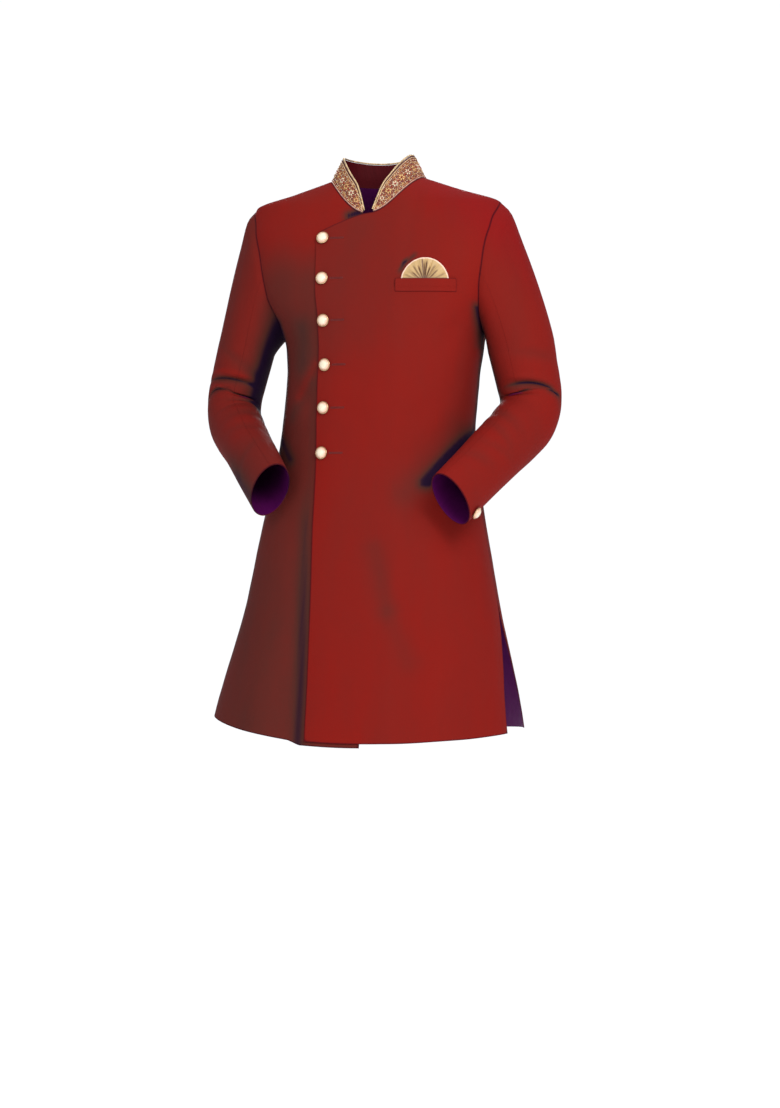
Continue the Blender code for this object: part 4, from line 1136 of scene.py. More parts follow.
def gather_depth(angle, spread):
    """The square's uneven gathers, from 0 in a crease to 1 on a fold, at this turn of its fan."""
    wander = sum(size * sin(turns * angle + growth * spread + start)
                 for size, turns, growth, start in GATHER_WAVES)
    wave = zero_to_one(cos(2 * SQUARE_GATHERS * angle + wander))
    fine = zero_to_one(cos(FINE_GATHERS * SQUARE_GATHERS * angle
                           + FINE_GATHER_SWAY * sin(FINE_GATHER_SWAYS * angle)))
    turns, start = FULLNESS_WAVE
    fullness = mix(*FULLNESS, zero_to_one(sin(turns * angle + start)))
    return mix(wave, fine, FINE_GATHER_SHARE) ** fullness


def square_height(angle, spread, z):
    """How far the square's face stands off its back: gathers that fade behind the welt."""
    shown = ease((z - WELT_Z[1]) / GATHERS_START - 0.25)
    crown = mix(CROWN_AT_CORE, 1.0, ease(spread * CROWN_GROWTH))
    crown *= mix(1.0, CROWN_AT_TIPS, ease((spread - TIPS_START) / (1 - TIPS_START)))
    return SQUARE_WALL + GATHER_DEPTH * gather_depth(angle, spread) * shown * crown


def square_shade(angle, spread):
    """How deep the painted shade of the silk is at a place of the fan: in its gathers, its creases
    and at the welt.
    """
    turns, start = GATHER_SHADE_REACH_WAVE
    reach = mix(*GATHER_SHADE_REACH, zero_to_one(sin(turns * angle + start)))
    turns, start = GATHER_SHADE_STRENGTH_WAVE
    strength = mix(*GATHER_SHADE_STRENGTH, zero_to_one(cos(turns * (angle - start))))
    fade = 1 - ease((spread - GATHER_SHADE_FADE_START * reach) / GATHER_SHADE_FADE_RUN)
    hollow = (1 - gather_depth(angle, spread)) ** GATHER_SHADE_POWER
    soft = GATHER_SHADE * strength * hollow * fade
    sharp = max(crease.strength
                * exp(-((degrees(angle) - crease.turn) * spread / CREASE_WIDTH) ** 2)
                * (1 - ease((spread - crease.reach) / CREASE_END))
                for crease in SQUARE_CREASE_SHADE_ROWS)
    rise = (SQUARE_HEIGHT + SQUARE_TUCK) * spread * sin(angle) - SQUARE_TUCK
    tuck_shade = TUCK_SHADE * (1 - ease((rise - TUCK_SHADE_START) / TUCK_SHADE_RUN))
    return min(max(soft, CREASE_SHADE * sharp, tuck_shade), 1.0)


def square_fan():
    """The turn of each line of the fan, and how far out each of its rows lies."""
    angles = [pi * c / SQUARE_STEPS[0] for c in range(SQUARE_STEPS[0] + 1)]
    spreads = [mix(SQUARE_CORE, 1.0, r / SQUARE_STEPS[1]) for r in range(SQUARE_STEPS[1] + 1)]
    return angles, spreads


def square_shades():
    """The painted shade of each point of the pocket square."""
    angles, spreads = square_fan()
    return [[square_shade(angle, spread) for spread in spreads] for angle in angles]


def square_grid():
    """Outer and inner points of the pocket square, spread as a fan."""
    low = WELT_Z[1] - SQUARE_TUCK
    angles, spreads = square_fan()
    outer, inner = [], []
    for angle in angles:
        outer_line, inner_line = [], []
        for spread in spreads:
            x = SQUARE_CENTRE_X + SQUARE_HALF_WIDTH * spread * cos(angle)
            z = low + (SQUARE_HEIGHT + SQUARE_TUCK) * spread * sin(angle)
            point, normal = cloth_point("front", x, z, True)
            inner_line.append(point + normal * SEAM_GAP)
            outer_line.append(point + normal * (SEAM_GAP + square_height(angle, spread, z)))
        outer.append(outer_line)
        inner.append(inner_line)
    return outer, inner


# ======== Making cloth ========

def run_lengths(points):
    """The running length along a line of points, from its first one."""
    lengths = [0.0]
    for here, there in zip(points, points[1:]):
        lengths.append(lengths[-1] + (there - here).length)
    return lengths


def cloth_places(outer, zero_column):
    """Where each point lies on the flat cloth, in metres: across from one column, and along."""
    rows = len(outer[0])
    across = [run_lengths([line[r] for line in outer]) for r in range(rows)]
    places = []
    for c, line in enumerate(outer):
        along = run_lengths(line)
        places.append([(across[r][c] - across[r][zero_column], along[r]) for r in range(rows)])
    return places


def add_piece(name, bm, finishes, replaced=()):
    """Turn a bmesh into a finished object that rides with the coat."""
    mesh = bpy.data.meshes.new(name)
    bm.to_mesh(mesh)
    bm.free()
    mesh.shade_smooth()
    piece = bpy.data.objects.new(name, mesh)
    bpy.context.scene.collection.objects.link(piece)
    for finish in finishes:
        mesh.materials.append(finish)
    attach(piece, "root")
    if replaced:
        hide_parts(*replaced)
    return piece


def round_edges(piece, width):
    """Round the edges of a cloth piece, so that seams read as fine grooves."""
    rounded = piece.modifiers.new("rounded_edges", "BEVEL")
    rounded.width = width
    rounded.segments = 2
    rounded.limit_method = "ANGLE"
    rounded.angle_limit = radians(SHARP_ANGLE)
    rounded.harden_normals = True
    return piece


def shell(name, outer, inner, finishes, slot_name, replaced=(), zero_column=0, edge=PANEL_EDGE,
          shades=None, seams_beside=True, seam_shade_narrowing=1.0):
    """Make a closed piece of cloth from the points of its outer and inner faces.

    Each point carries its place on the flat cloth, its distance to the border and the depth of its
    painted shade.
    """
    columns, rows = len(outer), len(outer[0])
    bm = bmesh.new()
    number = bm.verts.layers.int.new("number")
    bmesh.ops.create_grid(bm, x_segments=columns - 1, y_segments=rows - 1, size=1)
    for vert in bm.verts:
        column = round((vert.co.x + 1) / 2 * (columns - 1))
        vert[number] = column * rows + round((vert.co.y + 1) / 2 * (rows - 1))
    lining_faces = bm.faces[:]
    made = bmesh.ops.extrude_face_region(bm, geom=lining_faces, use_keep_orig=True)
    faced = {item for item in made["geom"] if isinstance(item, bmesh.types.BMVert)}
    for vert in bm.verts:
        points = outer if vert in faced else inner
        vert.co = points[vert[number] // rows][vert[number] % rows]
    for face in lining_faces:
        face.material_index = 1
    cloth = bm.loops.layers.uv.new("cloth")
    border = bm.verts.layers.float.new("border")
    painted_shade_depth = bm.verts.layers.float.new("shade")
    places = cloth_places(outer, zero_column)
    for vert in bm.verts:
        c, r = divmod(vert[number], rows)
        across, along = places[c][r]
        vert[border] = min(along, places[c][-1][1] - along)
        if seams_beside:
            vert[border] = min(vert[border], across - places[0][r][0],
                               places[-1][r][0] - across)
        # A larger factor narrows the painted shade along the seams and edges
        vert[border] *= seam_shade_narrowing
        vert[painted_shade_depth] = shades[c][r] if shades else 0.0
    for face in bm.faces:
        for loop in face.loops:
            loop[cloth].uv = places[loop.vert[number] // rows][loop.vert[number] % rows]
    bmesh.ops.recalc_face_normals(bm, faces=bm.faces)
    piece = add_piece(name, bm, finishes, replaced)
    return round_edges(piece, edge) if edge else piece


def declare_cut(name):
    """Read the flat size that a cloth piece is cut to; nothing is done with it."""
    cut = named_row(CUTS[name], CUT_COLUMNS)


def panel(name, side, hand, columns, reach, lifted, loops, finishes):
    """Make one panel of the body, set half a seam gap to the front or the back."""
    outer, inner, shades = [], [], []
    shift = Vector((0, (SEAM_GAP if side == "back" else -SEAM_GAP) / 2, 0))
    seams = {tuple(round(c, 6) for c in spot["point"]): spot["step"] for spot in loops}
    for column in columns:
        turned = hand if side == "front" else (1 if column >= 0 else -1)
        place = column if side == "front" else abs(column)
        low_x = column_x(side, turned, place, reach, HEM_Z[side])
        top_x = column_x(side, turned, place, reach, SHOULDER_TIP_Z)
        low = hem_z(side, low_x, reach == UNDERLAP)
        heights = row_heights(low, top_z(side, place, reach, top_x))
        outer_line, inner_line, shade_line = [], [], []
        for z in heights:
            x = column_x(side, turned, place, reach, z)
            point, normal = cloth_point(side, x, z, lifted)
            step = seams.get(tuple(round(c, 6) for c in point), -normal * WALL)
            outer_line.append(point + shift)
            inner_line.append(point + step + shift)
            shade_line.append(body_shade(name, point, x, z))
        outer.append(outer_line)
        inner.append(inner_line)
        shades.append(shade_line)
    centre = min(range(len(columns)), key=lambda c: abs(columns[c]))
    piece = shell(name, outer, inner, finishes, "maroon_cloth", (name,), centre, shades=shades)
    declare_cut(name)


def line_shade(x, z, line):
    """How near a place is to a soft line of painted shade, which is a painted highlight where its
    depth is negative.
    """
    run = Vector((line.x_bottom - line.x_top, line.z_bottom - line.z_top))
    offset = Vector((x - line.x_top, z - line.z_top))
    along = min(max(offset.dot(run) / run.length_squared, 0.0), 1.0)
    away = (offset - run * along).length / line.width
    return line.depth * exp(-away * away)


def side_reach(point, hand):
    """How far a place of the body stands out sideways, seen from a little to its left."""
    return hand * (point.x * cos(SIDE_TURN) + point.y * sin(SIDE_TURN))


def side_reaches():
    """The furthest reach of the body's cloth at each step of height, by hand."""
    reaches = {1: [], -1: []}
    for k in range(floor(-HEM_Z["front"] / SIDE_STEP) + 2):
        z = -k * SIDE_STEP
        middle = BODY_CURVES["centre_x"](z)
        for hand, line in reaches.items():
            edge = half_width("front", hand, z)
            points = [cloth_point(side, middle + hand * (edge - inside * MM), z, False)[0]
                      for side in ("front", "back") for inside in SIDE_SAMPLES]
            line.append(max(side_reach(point, hand) for point in points))
    return reaches


SIDE_REACHES = side_reaches()


def side_shade(point, x, z):
    """The painted shade of the body's cloth where it turns away at its side."""
    hand = hand_of(x, z)
    level = -z / SIDE_STEP
    below = min(max(floor(level), 0), len(SIDE_REACHES[hand]) - 2)
    furthest = mix(SIDE_REACHES[hand][below], SIDE_REACHES[hand][below + 1], level - below)
    inside = max(furthest - side_reach(point, hand), 0)
    low = ease((SIDE_SHADE_LOW_Z - z) / SIDE_SHADE_LOW_RUN)
    strength = SIDE_SHADE_DEPTH[hand] * mix(1.0, SIDE_SHADE_LOW, low)
    return (exp(-(inside / SIDE_SHADE_WIDTH) ** 2) * ease((SIDE_SHADE_TOP_Z - z) / SIDE_SHADE_GROWTH)
            * strength)


def body_shade(name, point, x, z):
    """How deep the painted shade on the body's cloth is: at its sides, in lines and by the lap; below
    0 it is painted highlight.
    """
    shade = side_shade(point, x, z)
    shade += sum(line_shade(x, z, tone) for tone in BODY_SHADE_LINE_ROWS if tone.piece == name)
    if name == "front_right":
        edge = x - column_x("front", 1, -1.0, LAP, z)
        for tone in LAP_EDGE_SHADE_ROWS:
            away = (edge + tone.from_edge) / tone.width
            shade += tone.depth * exp(-away ** 2) * ease((tone.start_z - z) / tone.growth)
        shade += sum(tone.depth * ease((tone.start_z - z) / tone.growth)
                     for tone in RIGHT_FRONT_SHADE_ROWS)
    return min(shade, 1.0)


def sleeve_shade(arm, place, angle):
    """The painted shade of a sleeve: on the side towards the body, overall and in its creases, with
    painted highlight on their ridges.
    """
    tone = SLEEVE_SHADE_ROWS[arm.name]
    turned = degrees(angle) % 360
    below = ease((place - tone.elbow) / tone.elbow_run)
    inner_angle = mix(tone.angle_above, tone.angle_below, below)
    inner_width = mix(tone.width_above, tone.width_below, below)
    inner = (exp(-((turned - inner_angle) / inner_width) ** 2)
             * mix(tone.inner_above, tone.inner_below, below))
    outer_away = (turned - OUTER_SIDE_ANGLE + 180) % 360 - 180
    outer = exp(-(outer_away / OUTER_SIDE_WIDTH) ** 2)
    low = ease((place - FOREARM_PLACE) / FOREARM_RUN)
    overall = tone.overall + outer * mix(tone.outer, tone.outer_low, low) + tone.overall_low * low
    height = crease_height(arm.name, place, angle)
    hollow = (HOLLOW_SHADE * min(max(-height, 0) / HOLLOW_DEPTH, 1.0)
              - RIDGE_HIGHLIGHT * min(max(height, 0) / RIDGE_HEIGHT, 1.0))
    fold = tone.fold * fold_shade(arm.name, place, angle)
    return min(max(overall + inner + hollow, fold), 1.0)


def sleeve_piece(arm, name, grid, first, last, finishes):
    """Make the piece of the sleeve between two of its seams."""
    count = len(grid[0])
    shades = []
    for j in range(first, last + 1):
        angle = arm.tip_angle() + pi * (1 - (j % count) / ROWS_ABOVE_UNDERARM)
        places = [0.0] * HEAD_ROWS + list(SLEEVE_PLACES)
        shades.append([sleeve_shade(arm, place, angle) for place in places])
    outer, inner = ([[point.copy() for point in points[j % count]] for j in range(first, last + 1)]
                    for points in grid)
    for edge, ends in ((0, (first - 1, first + 1)), (-1, (last + 1, last - 1))):
        for r, point in enumerate(outer[edge]):
            inward = grid[0][ends[1] % count][r] - grid[0][ends[0] % count][r]
            shift = inward.normalized() * SEAM_GAP / 2
            outer[edge][r] = point + shift
            inner[edge][r] = inner[edge][r] + shift
    piece = shell(name, outer, inner, finishes, "maroon_cloth", (name,), (last - first) // 2,
                  edge=SMALL_EDGE, shades=shades, seams_beside=False)
    declare_cut(name)


def tube(name, path, ups, radius, finishes, replaced=(), sides=PIPING_SIDES):
    """Make a closed round cord along a path, from one circle extruded step by step."""
    bm = bmesh.new()
    number = bm.verts.layers.int.new("number")
    made = bmesh.ops.create_circle(bm, cap_ends=True, segments=sides, radius=radius)
    for k, vert in enumerate(made["verts"]):
        vert[number] = k
    for j, (centre, up) in enumerate(zip(path, ups)):
        if j:
            made = bmesh.ops.extrude_face_region(bm, geom=[end])
            end = next(item for item in made["geom"] if isinstance(item, bmesh.types.BMFace))
        else:
            end = bm.faces[:][0]
        along = (path[min(j + 1, len(path) - 1)] - path[max(j - 1, 0)]).normalized()
        through = along.cross(up).normalized()
        for vert in end.verts:
            turn = TURN * (vert[number] % sides) / sides
            vert.co = centre + (up * cos(turn) + through * sin(turn)) * radius
            vert[number] = j * sides + vert[number] % sides
    cloth = bm.loops.layers.uv.new("cloth")
    lengths = run_lengths(path)
    for face in bm.faces:
        wraps = {loop.vert[number] % sides for loop in face.loops} >= {0, sides - 1}
        for loop in face.loops:
            k = loop.vert[number] % sides
            share = 1.0 if wraps and k == 0 and len(face.verts) == 4 else k / sides
            loop[cloth].uv = (share, lengths[loop.vert[number] // sides])
    bmesh.ops.recalc_face_normals(bm, faces=bm.faces)
    return add_piece(name, bm, finishes, replaced)


# ======== Collar trim ========

class Band:
    """The collar's outer face, read by the run along it from the left front and a share up."""

    def __init__(self, outer):
        self.outer = outer
        rows = len(outer[0])
        self.runs = run_lengths([line[rows // 2] for line in outer])
        self.length = self.runs[-1]

    def point(self, run, up):
        """The point of the face at this run along it and share up it."""
        j = min(max(bisect_left(self.runs, run) - 1, 0), len(self.runs) - 2)
        share = (run - self.runs[j]) / (self.runs[j + 1] - self.runs[j])
        ends = []
        for line in (self.outer[j], self.outer[j + 1]):
            row = up * (len(line) - 1)
            r = min(max(int(row), 0), len(line) - 2)
            ends.append(line[r].lerp(line[r + 1], row - r))
        return ends[0].lerp(ends[1], share)

    def height(self, run):
        """The band's height at this run along it."""
        return (self.point(run, 1) - self.point(run, 0)).length

    def frame(self, run, up):
        """A place on the band, turned so that Z stands off it and Y points up it."""
        inside = min(max(run, BAND_STEP), self.length - BAND_STEP)
        across = self.point(inside + BAND_STEP, up) - self.point(inside - BAND_STEP, up)
        across.normalize()
        rise = (self.point(inside, min(up + BAND_STEP_UP, 1))
                - self.point(inside, max(up - BAND_STEP_UP, 0)))
        out = across.cross(rise).normalized()
        point = self.point(run, up)
        if out.dot(point - Vector((0, NECK_MIDDLE_Y, point.z))) < 0:
            out = -out
        rise = out.cross(across).normalized()
        if rise.z < 0:
            rise, across = -rise, -across
        turn = Matrix((across, rise, out)).transposed().to_4x4()
        return Matrix.Translation(point) @ turn


class Beadwork:
    """Many small beads or stitches of one kind, set in batches and joined into one piece."""

    def __init__(self):
        self.whole = bmesh.new()
        self.batch = bmesh.new()
        self.waiting = 0

    def add(self, seat, place, size, turn=0.0, around=6):
        """Set one bead at a place of its seat: its size is across, along and high."""
        stand = Matrix.Translation((place[0], place[1], size[2] * BEAD_STAND))
        grow = Matrix.Diagonal((*size, 1.0))
        bmesh.ops.create_uvsphere(self.batch, u_segments=around, v_segments=4, radius=1.0,
                                  matrix=seat @ stand @ Matrix.Rotation(turn, 4, "Z") @ grow)
        self.waiting += 1
        if self.waiting == BEAD_BATCH:
            self.join()

    def join(self):
        """Add the waiting batch to the whole."""
        loose = bpy.data.meshes.new("batch")
        self.batch.to_mesh(loose)
        self.whole.from_mesh(loose)
        bpy.data.meshes.remove(loose)
        self.batch.clear()
        self.waiting = 0

    def piece(self, name, finish, slot_name):
        """Make the finished work into an object."""
        self.join()
        self.batch.free()
        return add_piece(name, self.whole, (finish,))


# ======== Finishes ========

class Value:
    """A shader socket that can be used in Python expressions."""

    def __init__(self, finish, socket):
        self.finish = finish
        self.socket = socket

    def __add__(self, other):
        return self.finish.math("ADD", self, other)

    def __radd__(self, other):
        return self.finish.math("ADD", other, self)

    def __sub__(self, other):
        return self.finish.math("SUBTRACT", self, other)

    def __rsub__(self, other):
        return self.finish.math("SUBTRACT", other, self)

    def __mul__(self, other):
        return self.finish.math("MULTIPLY", self, other)

    def __rmul__(self, other):
        return self.finish.math("MULTIPLY", other, self)


class Finish:
    """A material and the nodes that make it."""

    def __init__(self, name):
        self.material = bpy.data.materials.new(name)
        self.material.use_nodes = True
        self.tree = self.material.node_tree
        self.shader = self.tree.nodes["Principled BSDF"]

    def link(self, value, socket):
        """Link a value to a socket, or set the socket to a plain number or colour."""
        if isinstance(value, Value):
            self.tree.links.new(value.socket, socket)
        else:
            socket.default_value = value

    def node(self, kind, settings=None, inputs=None, output=0):
        """Add a node, set its settings, then its inputs, and return one of its outputs."""
        made = self.tree.nodes.new(kind)
        for name, setting in (settings or {}).items():
            setattr(made, name, setting)
        for key, value in (inputs or {}).items():
            self.link(value, made.inputs[key])
        return Value(self, made.outputs[output])

    def math(self, operation, *values, clamp=False):
        """Add a Math node on values or numbers."""
        settings = {"operation": operation, "use_clamp": clamp}
        return self.node("ShaderNodeMath", settings, dict(enumerate(values)))

    def step(self, low, high, value):
        """Go smoothly from 0 to 1 as the value goes from low to high."""
        inputs = {0: value, 1: low, 2: high}
        return self.node("ShaderNodeMapRange", {"interpolation_type": "SMOOTHSTEP"}, inputs)

    def mix(self, share, first, second):
        """Mix two colours."""
        inputs = {0: share, 6: first, 7: second}
        return self.node("ShaderNodeMix", {"data_type": "RGBA"}, inputs, 2)

    def object_place(self):
        """The place in the piece's own space."""
        return self.node("ShaderNodeTexCoord", output=3)

    def cloth_place(self):
        """The place on the cloth itself, in metres across and along it."""
        return self.node("ShaderNodeUVMap", {"uv_map": "cloth"})

    def attribute(self, name):
        """A number that each point of the piece carries."""
        return self.node("ShaderNodeAttribute", {"attribute_name": name}, output=2)

    def split(self, place):
        """The three parts of a vector."""
        made = self.tree.nodes.new("ShaderNodeSeparateXYZ")
        self.link(place, made.inputs[0])
        return [Value(self, made.outputs[k]) for k in range(3)]

    def join(self, x, y, z=0.0):
        """A vector from its parts."""
        return self.node("ShaderNodeCombineXYZ", None, {0: x, 1: y, 2: z})

    def stretch(self, place, scale):
        """Scale a place by its own amount on each axis."""
        return self.node("ShaderNodeVectorMath", {"operation": "MULTIPLY"}, {0: place, 1: scale})

    def noise(self, place, scale, detail=2.0, roughness=0.5):
        """Soft noise, about 0.5 on average."""
        inputs = {"Vector": place, "Scale": scale, "Detail": detail, "Roughness": roughness}
        return self.node("ShaderNodeTexNoise", None, inputs)

    def bump(self, height, distance, strength=1.0, normal=None):
        """A normal that follows this height, over another normal where one is given."""
        inputs = {"Height": height, "Distance": distance, "Strength": strength}
        if normal is not None:
            inputs["Normal"] = normal
        return self.node("ShaderNodeBump", None, inputs)

    def finish(self, **sockets):
        """Set the shader's sockets and return the material."""
        for name, value in sockets.items():
            self.link(value, self.shader.inputs[name.replace("_", " ")])
        return self.material


def suiting(name, colour, dark_colour, lit_colour):
    """Silk-blend suiting: a close weave with slubs, in maroon with painted shade and painted light.
    """
    cloth = Finish(name)
    place = cloth.cloth_place()
    across, along, _ = cloth.split(place)
    spot = cloth.object_place()
    border = cloth.attribute("border")
    shade = cloth.attribute("shade")
    warp = cloth.math("SINE", across * (TURN / WEAVE_PITCH))
    weft = cloth.math("SINE", along * (TURN / WEAVE_PITCH))
    slub = cloth.noise(cloth.stretch(place, SLUBS), 1.0, 3.0, 0.6) - 0.5
    cross_slub = cloth.noise(cloth.stretch(place, CROSS_SLUBS), 1.0) - 0.5
    drift = cloth.noise(cloth.stretch(spot, DRIFT), 1.0, 3.0, 0.55) - 0.5
    fleck = cloth.noise(spot, FLECKS, 2.0, 0.7) - 0.5
    x, _, z = cloth.split(spot)
    # Painted light: crimson towards the lit left shoulder
    lit = cloth.step(*LIT_CRIMSON_ENDS, x + (z - LIT_CRIMSON_Z) * LIT_CRIMSON_SLOPE)
    base = cloth.mix(lit * LIT_CRIMSON_SHARE, colour, lit_colour)
    tone = (slub * SLUB_TONE + cross_slub * CROSS_SLUB_TONE + drift * DRIFT_TONE
            + fleck * FLECK_TONE)
    # Painted shade from the shade attribute, with the weave's own uneven tone
    deep = cloth.math("ADD", shade * SHADE_TONE, EVEN_TONE - tone, clamp=True)
    toned = cloth.mix(deep, base, dark_colour)
    # Painted deepest shade in navy
    toned = cloth.mix(cloth.step(DEEPEST_SHADE_FROM, 1.0, shade), toned, DEEPEST_SHADE)
    # Painted highlight where the shade is negative
    toned = cloth.mix(cloth.step(0.0, FULLY_LIT_AT, 0 - shade), toned, LIT_MAROON)
    # Painted shade in the seams' grooves and along the edges
    clear_of_seam_shade = cloth.step(0.0, SEAM_SHADE, border + slub * 1.5 * MM)
    toned = cloth.mix((1 - clear_of_seam_shade) * 0.7, toned, SEAM_SHADE_COLOUR)
    height = warp * weft * 0.5 + slub * 1.6 + cross_slub * 0.6
    fine = cloth.bump(height, 0.10 * MM, 0.55)
    swells = cloth.bump(cloth.noise(spot, SWELLS), 5.0 * MM, 0.30, fine)
    return cloth.finish(Base_Color=toned, Roughness=0.62 + slub * 0.12, Sheen_Weight=0.02,
                        Sheen_Roughness=0.5, Sheen_Tint=SUITING_SHEEN,
                        Specular_IOR_Level=0.05, Specular_Tint=SUITING_GLINT, Normal=swells)


def lining_satin(name, dark, light):
    """Twill-woven lining with fine streaks along it."""
    lining = Finish(name)
    place = lining.cloth_place()
    across, along, _ = lining.split(place)
    streak = lining.noise(lining.stretch(place, LINING_STREAKS), 1.0)
    twill = lining.math("SINE", (across + along) * (TURN / WEAVE_PITCH))
    tone = lining.mix(streak, dark, light)
    normal = lining.bump(twill * 0.4 + streak, 0.06 * MM, 0.5)
    return lining.finish(Base_Color=tone, Roughness=0.50, Specular_IOR_Level=0.10, Normal=normal)


def embroidered_ground():
    """The collar's ground: close-set seed beads and couched thread over copper-red cloth."""
    ground = Finish("embroidered_ground")
    place = ground.cloth_place()
    border = ground.attribute("border")
    warp = ground.noise(place, 260.0)
    sway = ground.join((warp - 0.5) * 1.4 * MM, (0.5 - warp) * MM)
    winding = ground.node("ShaderNodeVectorMath", {"operation": "ADD"}, {0: place, 1: sway})
    inputs = {"Vector": winding, "Scale": BEADS_PER_METRE, "Randomness": 0.8}
    away = ground.node("ShaderNodeTexVoronoi", None, inputs)
    kind, second, _ = ground.split(ground.node("ShaderNodeTexVoronoi", None, inputs, output=1))
    bead = 1 - ground.step(0.34, 0.50, away)
    tangle = ground.step(0.50, 0.60, ground.noise(place, 330.0, 2.0, 0.55))
    bead_colour = BEAD_CREAM
    for start, next_colour in BEAD_KINDS:
        later = ground.step(start, start + BEAD_KIND_BLEND, kind)
        bead_colour = ground.mix(later, bead_colour, next_colour)
    bead_colour = ground.mix(second * 0.30, bead_colour, BEAD_SHADE)
    bead_colour = ground.mix(tangle * 0.55, bead_colour, BEAD_HOLLOW)
    cloth = ground.mix(warp, COPPER_RED, DARK_COPPER_RED)
    colour = ground.mix(bead, cloth, bead_colour)
    plain = 1 - ground.step(*PLAIN_EDGE, border)
    colour = ground.mix(plain, colour, BAND_EDGE)
    raised = bead * (1 - plain)
    normal = ground.bump(raised + warp * 0.3, 0.45 * MM, 0.9)
    return ground.finish(Base_Color=colour, Roughness=0.58 - raised * 0.16,
                         Metallic=raised * 0.12, Normal=normal)


def metal_thread(name, colour, ply, roughness, metallic):
    """Cord or thread of metal-wrapped strands, twisted along its own length."""
    cord = Finish(name)
    across, along, _ = cord.split(cord.cloth_place())
    twist = cord.math("SINE", across * TURN + along * (TURN / ply))
    tarnish = cord.noise(cord.object_place(), 260.0, 2.0, 0.6)
    dark = tuple(c * 0.55 for c in colour)
    tone = cord.mix(cord.step(-0.9, 0.6, twist + (tarnish - 0.5)), (*dark, 1), (*colour, 1))
    return cord.finish(Base_Color=tone, Roughness=roughness, Metallic=metallic,
                       Normal=cord.bump(twist, 0.25 * MM, 0.8))


def plain_thread(name, colour, roughness, metallic=0.0):
    """Small stitches and beads: one colour with a little wear and a thread's fine ridges."""
    thread = Finish(name)
    spot = thread.object_place()
    wear = thread.noise(spot, 380.0, 2.0, 0.6)
    tone = thread.mix(wear, (*(c * 0.72 for c in colour), 1), (*colour, 1))
    ridges = thread.noise(spot, 2200.0, 1.0, 0.5)
    return thread.finish(Base_Color=tone, Roughness=roughness, Metallic=metallic,
                         Normal=thread.bump(ridges, 0.08 * MM, 0.6))


def pearl():
    """The buttons' domes: cream pearl, paler on top and peach-pink towards the rim."""
    dome = Finish("pearl_dome")
    radius, _, _ = dome.split(dome.cloth_place())
    cloud = dome.noise(dome.object_place(), 210.0, 3.0, 0.6)
    cream = dome.mix(cloud, PEARL_CREAM, PEARL_WHITE)
    colour = dome.mix(dome.step(0.38, 0.86, radius) * 0.95, cream, PEARL_PEACH)
    return dome.finish(Base_Color=colour, Roughness=0.30, Coat_Weight=0.5, Coat_Roughness=0.12,
                       Normal=dome.bump(cloud, 0.2 * MM, 0.25))


def cream_silk():
    """The pocket square: pale gold silk, with painted shade in its gathers and creases, and a pinkish
    hem.
    """
    silk = Finish("cream_gold_silk")
    spot = silk.object_place()
    shade = silk.attribute("shade")
    border = silk.attribute("border")
    grain = silk.noise(silk.stretch(spot, SILK_GRAIN), 1.0, 2.0, 0.6)
    colour = silk.mix(silk.noise(spot, 70.0), SILK_GOLD, PALE_SILK)
    # Painted shade from the shade attribute, broken by the silk's grain
    crease_shaded = silk.math("ADD", shade, (grain - 0.5) * 0.3, clamp=True)
    colour = silk.mix(crease_shaded, colour, SILK_CREASE_SHADE)
    hem = 1 - silk.step(*HEM_STITCHES, border)
    colour = silk.mix(hem * 0.9, colour, SILK_HEM)
    return silk.finish(Base_Color=colour, Roughness=0.5, Sheen_Weight=0.06,
                       Sheen_Tint=SILK_SHEEN, Normal=silk.bump(grain, 0.12 * MM, 0.6))


# ======== The coat ========

OUTER = suiting("maroon_suiting", MAROON, SHADED_MAROON, LIT_CRIMSON)
LINING = lining_satin("purple_lining", PURPLE, PALE_PURPLE)
COLLAR_LINING = lining_satin("maroon_lining", LINING_MAROON, PALE_LINING_MAROON)
GROUND = embroidered_ground()
GOLD = metal_thread("gold_cord", GOLD_METAL, 2.6 * MM, 0.38, 0.50)
ROSE_GOLD = metal_thread("rose_gold_cord", ROSE_METAL, 1.8 * MM, 0.42, 0.4)
CREAM_BEADS = plain_thread("cream_beads", CREAM_GLASS, 0.30)
RED_BEADS = plain_thread("red_beads", RED_GLASS, 0.25)
GOLD_STITCHES = plain_thread("gold_stitches", GOLD_SILK, 0.36, 0.40)
COPPER_STITCHES = plain_thread("copper_stitches", COPPER_SILK, 0.42, 0.25)
RED_THREAD = plain_thread("red_thread", STITCH_RED, 0.6)
PEARL = pearl()
GOLD_RIM = plain_thread("gold_rim", RIM_METAL, 0.27, 0.75)
SILK = cream_silk()
BEADWORK_FINISHES = {"cream": CREAM_BEADS, "red": RED_BEADS, "gold": GOLD_STITCHES,
                     "copper": COPPER_STITCHES}


def make_panels():
    """Make the three panels of the body."""
    left, right = armhole_loop(1), armhole_loop(-1)
    neck = collar_loop()
    cloths = (OUTER, LINING)
    panel("front_left", "front", 1, front_columns(LAP), LAP, True, left + neck, cloths)
    panel("front_right", "front", -1, front_columns(UNDERLAP), UNDERLAP, False, right + neck,
          cloths)
    panel("back", "back", 1, back_columns(), LAP, False, left + right + neck, cloths)


def make_sleeves():
    """Make the top and under piece of each sleeve."""
    front_seam = FRONT_SEAM_STEP
    back_seam = ROWS_ABOVE_UNDERARM + BACK_SEAM_STEP
    for side in ARMS:
        arm = Arm(side)
        grid = sleeve_grid(arm)
        sleeve_piece(arm, "top_sleeve_" + side, grid, front_seam, back_seam, (OUTER, LINING))
        sleeve_piece(arm, "under_sleeve_" + side, grid, back_seam,
                     2 * ROWS_ABOVE_UNDERARM + front_seam, (OUTER, LINING))


